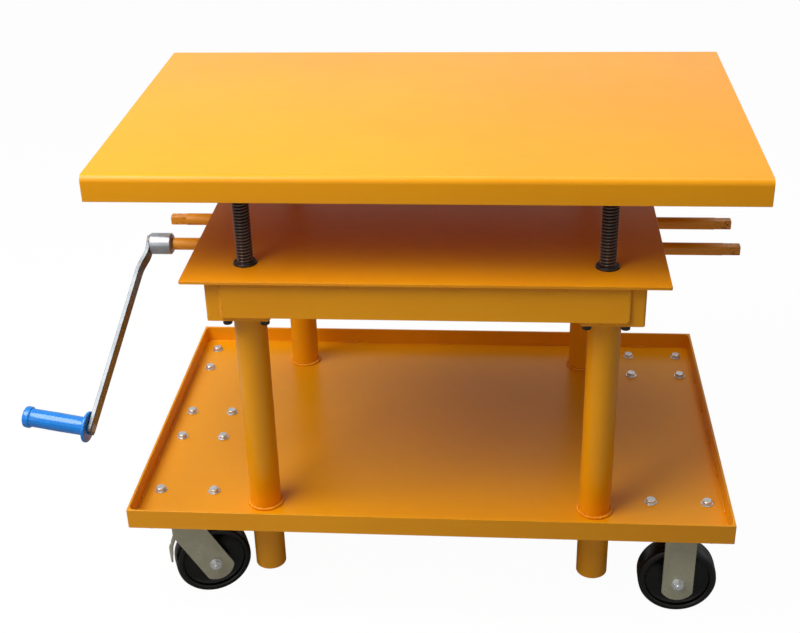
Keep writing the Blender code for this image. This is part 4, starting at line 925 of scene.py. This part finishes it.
def zinc(name, bright, dull, grain=60.0, strength=0.12, metal=0.55):
    """Zinc plate with its own bright and dull tones."""
    material, tree, shader, place = material_tree(name)
    look = grouped(
        tree, zinc_look, Place=place, Bright=linear(*bright), Dull=linear(*dull), Grain=grain
    )
    feed(tree, shader, Base_Color=look["Colour"], Roughness=look["Roughness"], Metallic=metal)
    bumped(tree, shader, look["Height"], strength, 0.0004)
    return material


crank_zinc = zinc("crank_zinc", (178, 182, 186), (138, 143, 147), 30.0, metal=0.7)
# The flat bar's zinc is a darker copy of the hub's zinc: painted shade that tones down the light on
# the arm.
arm_zinc = zinc("arm_zinc", (108, 112, 115), (86, 90, 93), 30.0, metal=0.7)
weld_zinc = zinc("weld_zinc", (150, 132, 110), (96, 74, 52), 90.0, 0.3)
shaft_turn = Matrix.Translation((0, -SHAFT_Y, SHAFT_Z)) @ Matrix.Rotation(-SWING, 4, "X")

hub = turned(
    [
        (0, -HUB_RIGHT), (0.0185, -HUB_RIGHT), (HUB_RADIUS, -HUB_RIGHT - 0.0030),
        (HUB_RADIUS, -HUB_LEFT + 0.0030), (0.0196, -HUB_LEFT), (0, -HUB_LEFT),
    ],
    64,
    AXIS_X,
)
half = SQUARE / 2 + 0.0003
socket = extruded(rounded_rectangle(half, half, 0.001, 2), -0.5755, -0.5, AXIS_X)
socket.transform(Matrix.Rotation(SWING, 4, "X"))
hub = shaped(hub, (socket, "DIFFERENCE"))


def arm_outline():
    """The bent flat bar in (z, x), hung straight down, with a smooth bend."""
    face = -HUB_LEFT - ARM_THICK / 2 + 0.002
    bend = Vector((ARM_BEND[0], -HUB_LEFT - ARM_BEND[1]))
    end = Vector((ARM_END[0], -HUB_LEFT - ARM_END[1]))
    along = (end - bend).normalized()
    corners = [Vector((0.012, face)), Vector((-0.024, face)), bend, end + along * ARM_TIP]
    line = [corners[0]]
    for before, corner, after in zip(corners, corners[1:], corners[2:]):
        start = corner + (before - corner).normalized() * ARM_EASE
        stop = corner + (after - corner).normalized() * ARM_EASE
        for i in range(7):
            t = i / 6
            line.append(start * (1 - t) ** 2 + corner * 2 * t * (1 - t) + stop * t * t)
    line.append(corners[-1])
    left, right = [], []
    for i, here in enumerate(line):
        ahead = (line[min(i + 1, len(line) - 1)] - line[max(i - 1, 0)]).normalized()
        normal = Vector((-ahead.y, ahead.x)) * ARM_THICK / 2
        left.append(tuple(here + normal))
        right.append(tuple(here - normal))
    return left + right[::-1], end, along


outline, grip_point, along = arm_outline()
arm = extruded(outline, -ARM_WIDTH / 2, ARM_WIDTH / 2, AXIS_Y)
lean = math.atan2(-along.y, -along.x)
grip_frame = Matrix.Translation((grip_point.y, 0, grip_point.x)) @ Matrix.Rotation(lean, 4, "Y")
# Round tip of the flat bar, cut square to its face.
tip_plan = [(ARM_WIDTH / 2, 0.5), (-ARM_WIDTH / 2, 0.5)]
tip_plan += arc(0, ARM_TIP_CENTRE, ARM_WIDTH / 2, 180, 360, 12)
tip_cutter = extruded(tip_plan, -0.3, 0.3, AXIS_X)
tip_cutter.transform(grip_frame)
arm = shaped(arm, (tip_cutter, "INTERSECT"))
hub.transform(shaft_turn)
arm.transform(shaft_turn)
finished("crank_hub", hub, "front_crank_shaft", crank_zinc, "zinc_plate", "crank_arm", edge=0.0006)
finished("crank_flat_bar", arm, "front_crank_shaft", arm_zinc, "zinc_plate", edge=0.0010)

weld_line = []
for i in range(33):
    angle = math.radians(200 * i / 32 - 100 + 90)
    y = 0.0172 * math.cos(angle)
    z = 0.0172 * math.sin(angle)
    weld_line.append((-HUB_LEFT - 0.0005, max(-0.0165, min(0.0165, y)), z))
hub_weld = bead_mesh([weld_line], 0.0050, weld_zinc, 0.0018, 11)
hub_weld.transform(shaft_turn)
finished("crank_hub_weld", hub_weld, "front_crank_shaft", weld_zinc, "zinc_plate")

rivet = turned(
    [
        (0, 0.0070), (0.004, 0.0068), (0.0072, 0.0056), (0.009, 0.0040), (0.006, 0.0040),
        (0.006, -0.1300), (0, -0.1300),
    ], 40, AXIS_X
)
rivet.transform(grip_frame)
rivet.transform(shaft_turn)
finished("grip_rivet", rivet, "front_crank_shaft", crank_zinc, "zinc_plate")

# Grip
# A moulded blue plastic handle that spins freely on the riveted spindle, with a broad
# guard against the arm, a slight belly and a rounded collar at its outer end.
blue_grip, tree, shader, place = material_tree("blue_grip")
mould = noise(tree, place, 24.0, 3.0)
handled = ramped(tree, noise(tree, place, 60.0, 5.0, 0.65), 0.45, 0.75)
feed(
    tree, shader, Base_Color=blended(tree, mould, linear(8, 138, 230), linear(3, 118, 212)),
    Roughness=maths(tree, "MULTIPLY_ADD", handled, 0.14, 0.16),
)
bumped(tree, shader, noise(tree, place, 260.0, 2.0), 0.05, 0.0004)
feed(tree, shader, Specular_IOR_Level=0.6)

grip_profile = [
    (0.0065, -0.0050), (0.0280, -0.0050), (0.0302, -0.0056), (0.0310, -0.0072), (0.0310, -0.0098),
    (0.0302, -0.0112), (0.0255, -0.0120), (0.0212, -0.0128), (0.0192, -0.0150), (0.0183, -0.0200),
    (0.0184, -0.0400), (0.0187, -0.0700), (0.0184, -0.1000), (0.0183, -0.1210), (0.0190, -0.1240),
    (0.0208, -0.1256), (0.0215, -0.1280), (0.0215, -0.1340), (0.0206, -0.1372), (0.0185, -0.1385),
    (0.0100, -0.1385), (0.0090, -0.1375), (0, -0.1375), (0, -0.1330), (0.0065, -0.1330),
]
grip = turned(grip_profile, 72, AXIS_X, ring=True)
grip.transform(grip_frame)
grip.transform(shaft_turn)
finished("blue_handle", grip, "grip", blue_grip, "blue_plastic", "crank_grip", edge=0.0003)

# Tray
# A 6 mm floor with a 43 mm rim of flat bar round it, welded at the corners and stitched
# to the floor from inside. Hex bolts with washers hold the casters and the floor lock.
TRAY_HALF = (0.6096, 0.39325)
TRAY_BOTTOM = 0.218
RIM_TOP = 0.2612
RIM_WALL = 0.0048
RIM_CORNER = 0.012
CASTER_X = 0.5135
CASTER_Y = {"front": -0.315, "back": 0.292}
CASTER_BOLTS = (0.1143, 0.0921)
LOCK_PLACE = (-0.5242, -0.010)
LOCK_BOLTS = (0.0932, 0.105)
STITCH_LIFT = 0.0012

tray = extruded(rounded_rectangle(*TRAY_HALF, 0.0025, 3), TRAY_BOTTOM, RIM_TOP)
inside = (TRAY_HALF[0] - RIM_WALL, TRAY_HALF[1] - RIM_WALL)
pocket = extruded(rounded_rectangle(*inside, RIM_CORNER, 8), TRAY_TOP, RIM_TOP + 0.01)
leg_holes = [drill(LEG_DIAMETER + 0.0006, 0.2, 0.24, x, y) for x, y in POSTS.values()]
tray = shaped(tray, (pocket, "DIFFERENCE"), (joined(leg_holes), "DIFFERENCE"))
tray_enamel = boxed_enamel("tray_enamel", "tray", width=0.004, peel=1.2)
finished("tray_pan", tray, "frame", tray_enamel, "orange_paint", "tray", edge=0.0008)

stitches = []
stitch_z = TRAY_TOP + STITCH_LIFT
for end in (-1, 1):
    x = end * (inside[0] - STITCH_LIFT)
    for start in (-0.30, -0.17, -0.04, 0.09, 0.22):
        stitches.append([(x, start, stitch_z), (x, start + 0.045, stitch_z)])
for side in (-1, 1):
    y = side * (inside[1] - STITCH_LIFT)
    for start in (-0.50, -0.26, -0.02, 0.22, 0.46):
        stitches.append([(start, y, stitch_z), (start + 0.04, y, stitch_z)])
finished(
    "tray_stitches", bead_mesh(stitches, 0.0055, bead_enamel, seed=21), "frame", bead_enamel,
    "orange_paint",
)

bolt_zinc = zinc("bolt_zinc", (226, 228, 228), (158, 158, 154), 90.0, 0.16, 0.75)
BOLT_ACROSS = 0.0183
HEAD_LOW = TRAY_TOP + 0.0022
HEAD_TOP = HEAD_LOW + 0.0072
NUT_TOP = 0.2115
NUT_HEIGHT = 0.0095


def bolt_shape():
    """A hex bolt through the tray: domed head, washer, and its nut and end below."""
    washer = turned(
        [
            (0.0058, HEAD_LOW), (0.0125, HEAD_LOW), (0.0129, HEAD_LOW - 0.0006),
            (0.0129, TRAY_TOP + 0.0002), (0.0058, TRAY_TOP + 0.0002),
        ],
        28,
        ring=True,
    )
    head = extruded(hexagon(BOLT_ACROSS), HEAD_LOW, HEAD_TOP)
    corner = BOLT_ACROSS / math.sqrt(3)
    dome = turned(
        [
            (0, HEAD_TOP), (BOLT_ACROSS * 0.46, HEAD_TOP), (corner + 0.0005, HEAD_LOW + 0.0048),
            (corner + 0.0005, HEAD_LOW - 0.001), (0, HEAD_LOW - 0.001),
        ],
        28,
    )
    head = shaped(head, (dome, "INTERSECT"))
    nut = extruded(hexagon(BOLT_ACROSS), NUT_TOP - NUT_HEIGHT, NUT_TOP)
    end = turned(
        [
            (0, NUT_TOP), (0.0054, NUT_TOP), (0.0054, NUT_TOP - 0.014), (0.0042, NUT_TOP - 0.0155),
            (0, NUT_TOP - 0.0155),
        ],
        20,
    )
    return joined([washer, head, nut, end])


def rectangle_places(spacing, x, y):
    """The four corners of a bolt pattern."""
    return [(x + i * spacing[0] / 2, y + j * spacing[1] / 2, 0) for i in (-1, 1) for j in (-1, 1)]


bolt_places = rectangle_places(LOCK_BOLTS, *LOCK_PLACE)
for x in (-CASTER_X, CASTER_X):
    for y in CASTER_Y.values():
        bolt_places += rectangle_places(CASTER_BOLTS, x, y)
tray_bolts = fasteners(bolt_shape(), bolt_places, bolt_zinc, 12)
finished("tray_bolts", tray_bolts, "frame", bolt_zinc, "zinc_plate", edge=0.0003)

# Casters
# Pressed steel forks of 63 mm strap on bolted plates, yellowish zinc plated. The left
# pair swivels on a ball race and has foot brakes, and the right pair is rigid.
CASTER_TOP = TRAY_BOTTOM - SEAT_GAP
PLATE_THICKNESS = 0.006
PLATE_MARGIN = 0.0145
AXLE_Z = 0.080
STRAP = 0.0635
FORK_SHEET = 0.005
FORK_GAP = 0.059
FORK_OUT = FORK_GAP / 2 + FORK_SHEET
FORK_BEND = 0.009
FORK_END = 0.043
FORK_ROUND = 0.036
TRAIL = 0.050
TURN = math.radians(22)
SWIVEL_Z = CASTER_TOP - PLATE_THICKNESS - 0.012
CROWN_TOP = SWIVEL_Z - SEAT_GAP
fork_zinc = zinc("fork_zinc", (190, 187, 162), (152, 149, 124), 16.0, 0.10, 0.4)
axle_zinc = zinc("axle_zinc", (226, 228, 228), (186, 188, 188), 90.0, 0.12)


def fork_section(top, low):
    """The fork's inverted U in (y, z), with bent shoulders."""
    outline = [(FORK_OUT, low)]
    outline += arc(FORK_OUT - FORK_BEND, top - FORK_BEND, FORK_BEND, 0, 90, 6)
    outline += arc(FORK_BEND - FORK_OUT, top - FORK_BEND, FORK_BEND, 90, 180, 6)
    outline += [(-FORK_OUT, low), (-FORK_GAP / 2, low)]
    inner = FORK_BEND - FORK_SHEET
    outline += arc(inner - FORK_GAP / 2, top - FORK_SHEET - inner, inner, 180, 90, 6)
    outline += arc(FORK_GAP / 2 - inner, top - FORK_SHEET - inner, inner, 90, 0, 6)
    return outline + [(FORK_GAP / 2, low)]


def fork_end(x, slant):
    """The round end of a leg in (z, x)."""
    drop = FORK_END - FORK_ROUND
    spread = math.degrees(math.asin(STRAP / 2 / FORK_ROUND))
    middle = 180 - math.degrees(slant)
    low = AXLE_Z - drop * math.cos(slant)
    return arc(low, x + drop * math.sin(slant), FORK_ROUND, middle + spread, middle - spread, 16)


def fork(top, silhouette):
    """A fork bent from strap: the U limited to its side view."""
    channel = extruded(fork_section(top, 0.02), -0.12, 0.12, AXIS_X)
    return shaped(channel, (extruded(silhouette, -0.12, 0.12, AXIS_Y), "INTERSECT"))


def mounting_plate(spacing, corner=0.010):
    """The bolted plate of a caster."""
    half = (spacing[0] / 2 + PLATE_MARGIN, spacing[1] / 2 + PLATE_MARGIN)
    return extruded(rounded_rectangle(*half, corner), CASTER_TOP - PLATE_THICKNESS, CASTER_TOP)


rigid_top = CASTER_TOP - PLATE_THICKNESS + 0.0001
half = STRAP / 2
rigid_view = [(rigid_top + 0.01, half), (rigid_top + 0.01, -half)] + fork_end(0, 0)
rigid_fork = shaped(fork(rigid_top, rigid_view), (mounting_plate(CASTER_BOLTS), "UNION"))
for side, y in CASTER_Y.items():
    finished(
        f"fixed_fork_{side}", moved(rigid_fork, CASTER_X, y), "frame", fork_zinc, "zinc_plate",
        f"rigid_fork_{side}", edge=0.0009,
    )

crown_drop = CROWN_TOP - 0.0215
slant = math.atan2(TRAIL, crown_drop - AXLE_Z)
shift = half * math.tan(slant / 2)
swivel_view = [(CROWN_TOP + 0.01, half), (CROWN_TOP + 0.01, -half), (crown_drop - shift, -half)]
swivel_view += fork_end(TRAIL, slant) + [(crown_drop + shift, half)]
swivel_fork = fork(CROWN_TOP, swivel_view)
race = turned(
    [
        (0.013, CROWN_TOP), (0.041, CROWN_TOP), (0.0430, CROWN_TOP - 0.0015),
        (0.0430, CROWN_TOP - 0.0065), (0.0395, CROWN_TOP - 0.009), (0.013, CROWN_TOP - 0.009),
    ],
    64,
    ring=True,
)
swivel_fork = shaped(swivel_fork, (race, "UNION"))
swivel_head = turned(
    [
        (0, CASTER_TOP - 0.0059), (0.0350, CASTER_TOP - 0.0059), (0.0372, CASTER_TOP - 0.0085),
        (0.0410, CASTER_TOP - 0.0120), (0.0410, SWIVEL_Z + 0.0005), (0.0400, SWIVEL_Z),
        (0, SWIVEL_Z),
    ],
    64,
)
swivel_plate = shaped(mounting_plate(CASTER_BOLTS), (swivel_head, "UNION"))
for side, y in CASTER_Y.items():
    finished(
        f"swivel_mount_{side}", moved(swivel_plate, -CASTER_X, y), "frame", fork_zinc, "zinc_plate",
        f"swivel_plate_{side}", edge=0.0007,
    )
    turned_fork = swivel_fork.copy()
    turned_fork.transform(Matrix.Translation((-CASTER_X, y, 0)) @ Matrix.Rotation(TURN, 4, "Z"))
    finished(
        f"turning_fork_{side}", turned_fork, f"swivel_{side}", fork_zinc, "zinc_plate",
        f"swivel_fork_{side}", edge=0.0009,
    )

# Wheels and axles
# Black solid wheels with a dished face, a raised hub and a slightly crowned tread, on
# half-inch axle bolts with lock nuts.
WHEEL_RADIUS = 0.080
WHEEL_HALF = 0.0254
AXLE_DIAMETER = 0.0127
AXLE_NUT = 0.019
black_tyre, tree, shader, place = material_tree("black_tyre")
dusty = ramped(tree, noise(tree, place, 34.0, 6.0, 0.7), 0.42, 0.74)
scuffed = ramped(tree, noise(tree, place, 190.0, 4.0, 0.7), 0.55, 0.72)
tyre_black = blended(
    tree, maths(tree, "MULTIPLY", dusty, 0.45), linear(9, 8, 7), linear(28, 23, 19)
)
feed(
    tree, shader,
    Base_Color=blended(tree, maths(tree, "MULTIPLY", scuffed, 0.2), tyre_black, linear(50, 42, 34)),
    Roughness=maths(tree, "MULTIPLY_ADD", dusty, 0.3, 0.26),
)
bumped(tree, shader, maths(tree, "ADD", noise(tree, place, 420.0, 3.0), scuffed), 0.15, 0.0005)
feed(tree, shader, Specular_IOR_Level=0.3)


def wheel_mesh():
    """A wheel round its axle along Y."""
    side = [
        (0.00665, 0.0275), (0.0150, 0.0275), (0.0175, 0.0262), (0.0232, 0.0255), (0.0250, 0.0190),
        (0.0290, 0.0138), (0.0420, 0.0128), (0.0610, 0.0136), (0.0648, 0.0165), (0.0662, 0.0232),
        (0.0690, WHEEL_HALF), (0.0745, 0.0250), (0.0775, 0.0232), (0.0792, 0.0200),
        (0.0799, 0.0130), (WHEEL_RADIUS, 0.0),
    ]
    profile = side + [(radius, -height) for radius, height in reversed(side[:-1])]
    return turned(profile, 80, AXIS_Y, ring=True)


def axle_mesh():
    """An axle bolt across a fork: head to the front, washer and lock nut to the back."""
    seat = FORK_OUT + SEAT_GAP
    radius = AXLE_DIAMETER / 2
    pieces = [turned([(0, seat), (radius, seat), (radius, -seat), (0, -seat)], 32, AXIS_Y)]
    for sign in (-1, 1):
        washer = [(0.0066, seat), (0.0130, seat), (0.0130, seat + 0.0016), (0.0066, seat + 0.0016)]
        pieces.append(turned([(r, sign * h) for r, h in washer], 32, AXIS_Y, ring=True))
    for sign in (-1, 1):
        near, far = sorted((sign * (seat + 0.0016), sign * (seat + 0.0096)))
        pieces.append(extruded(hexagon(AXLE_NUT), near, far, AXIS_Y))
    bolt_end = [
        (0, -seat - 0.0096), (0.0058, -seat - 0.0096), (0.0058, -seat - 0.0130),
        (0.0048, -seat - 0.0142), (0, -seat - 0.0142),
    ]
    pieces.append(turned(bolt_end, 24, AXIS_Y))
    return joined(pieces)


for side, y in CASTER_Y.items():
    finished(
        f"right_wheel_{side}", moved(wheel_mesh(), CASTER_X, y, AXLE_Z), f"right_wheel_{side}",
        black_tyre, "black_rubber", f"rigid_wheel_{side}",
    )
    finished(
        f"right_axle_{side}", moved(axle_mesh(), CASTER_X, y, AXLE_Z), "frame", axle_zinc,
        "zinc_plate", f"rigid_axle_{side}", edge=0.0003,
    )
    swung = Matrix.Translation((-CASTER_X, y, 0)) @ Matrix.Rotation(TURN, 4, "Z")
    place_left = swung @ Matrix.Translation((TRAIL, 0, AXLE_Z))
    left_wheel = wheel_mesh()
    left_wheel.transform(place_left)
    finished(
        f"left_wheel_{side}", left_wheel, f"left_wheel_{side}", black_tyre, "black_rubber",
        f"swivel_wheel_{side}",
    )
    left_axle = axle_mesh()
    left_axle.transform(place_left)
    finished(
        f"left_axle_{side}", left_axle, f"swivel_{side}", axle_zinc, "zinc_plate",
        f"swivel_axle_{side}", edge=0.0003,
    )

# Brakes and floor lock
# A pressed foot lever on each left fork, and the pedal, bracket and foot of the floor
# lock between them. All are zinc plated but the black foot.
for node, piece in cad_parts.items():
    if node.startswith(("wheel_brake", "floor_lock")):
        piece.data.materials[0] = black_tyre if node == "floor_lock_foot" else fork_zinc

# Room, lights and camera
# A plain pale floor and soft studio light, and the camera where the photograph was taken.
floor_mesh = bpy.data.meshes.new("floor")
FLOOR_HALF = 12
corner_signs = ((-1, -1), (1, -1), (1, 1), (-1, 1))
floor_corners = [(i * FLOOR_HALF, j * FLOOR_HALF, 0) for i, j in corner_signs]
floor_mesh.from_pydata(floor_corners, [], [(0, 1, 2, 3)])
floor = bpy.data.objects.new("floor", floor_mesh)
bpy.context.scene.collection.objects.link(floor)
floor_paint = bpy.data.materials.new("floor_paint")
floor_paint.use_nodes = True
tree = floor_paint.node_tree
rays = step(tree, "ShaderNodeLightPath")
pale = blended(tree, rays.outputs["Is Camera Ray"], (0.38, 0.38, 0.38, 1), (1, 1, 1, 1))
matt = step(tree, "ShaderNodeBsdfDiffuse", None, Color=pale)
white = step(tree, "ShaderNodeEmission", None, Color=(1, 1, 1, 1), Strength=1.0)
seen = maths(tree, "MULTIPLY", rays.outputs["Is Camera Ray"], 0.97)
mixed = step(
    tree, "ShaderNodeMixShader", None, nth0=seen, nth1=matt.outputs[0], nth2=white.outputs[0]
)
tree.links.new(mixed.outputs[0], tree.nodes["Material Output"].inputs["Surface"])
floor_mesh.materials.append(floor_paint)

world = bpy.data.worlds.new("studio")
bpy.context.scene.world = world
world.use_nodes = True
tree = world.node_tree
rays = step(tree, "ShaderNodeLightPath")
mirrored = maths(tree, "MULTIPLY_ADD", rays.outputs["Is Glossy Ray"], 0.5, 0.2)
strength = maths(tree, "MAXIMUM", rays.outputs["Is Camera Ray"], mirrored)
tree.links.new(strength, tree.nodes["Background"].inputs["Strength"])
tree.nodes["Background"].inputs["Color"].default_value = (1, 1, 1, 1)


def soft_light(name, place, target, size, power):
    """A square studio light that faces a point."""
    lamp = bpy.data.lights.new(name, "AREA")
    lamp.shape = "RECTANGLE"
    lamp.size, lamp.size_y = size
    lamp.energy = power
    light = bpy.data.objects.new(name, lamp)
    light.location = Vector(place) + MIDDLE
    light.rotation_euler = (Vector(target) - Vector(place)).to_track_quat("-Z", "Y").to_euler()
    bpy.context.scene.collection.objects.link(light)


soft_light("key", (-1.6, -1.15, 3.1), (0.1, 0, 0.6), (2.2, 2.2), 106)
soft_light("overhead", (0.3, 0.3, 3.4), (0.1, 0, 0.9), (2.4, 2.0), 34)
soft_light("front_fill", (-1.2, -3.4, 1.5), (0, 0, 0.5), (1.6, 1.2), 5)

CAMERA_PLACE = (0.1504, -2.5131, 1.8446)
camera_data = bpy.data.cameras.new("camera")
camera_data.sensor_width = 36
camera_data.lens = 59.15
camera = bpy.data.objects.new("camera", camera_data)
bpy.context.scene.collection.objects.link(camera)
yaw, pitch, roll = 0.0897, 0.4875, -0.0278
level = math.cos(pitch)
ahead = Vector((-math.sin(yaw) * level, math.cos(yaw) * level, -math.sin(pitch)))
right = Vector((math.cos(yaw), math.sin(yaw), 0))
up = right.cross(ahead)
roll_cos, roll_sin = math.cos(roll), math.sin(roll)
right, up = right * roll_cos + up * roll_sin, up * roll_cos - right * roll_sin
camera_place = Matrix.Translation(Vector(CAMERA_PLACE) + MIDDLE)
camera.matrix_world = camera_place @ Matrix((right, up, -ahead)).transposed().to_4x4()
bpy.context.scene.camera = camera
bpy.context.scene.view_settings.view_transform = "Standard"
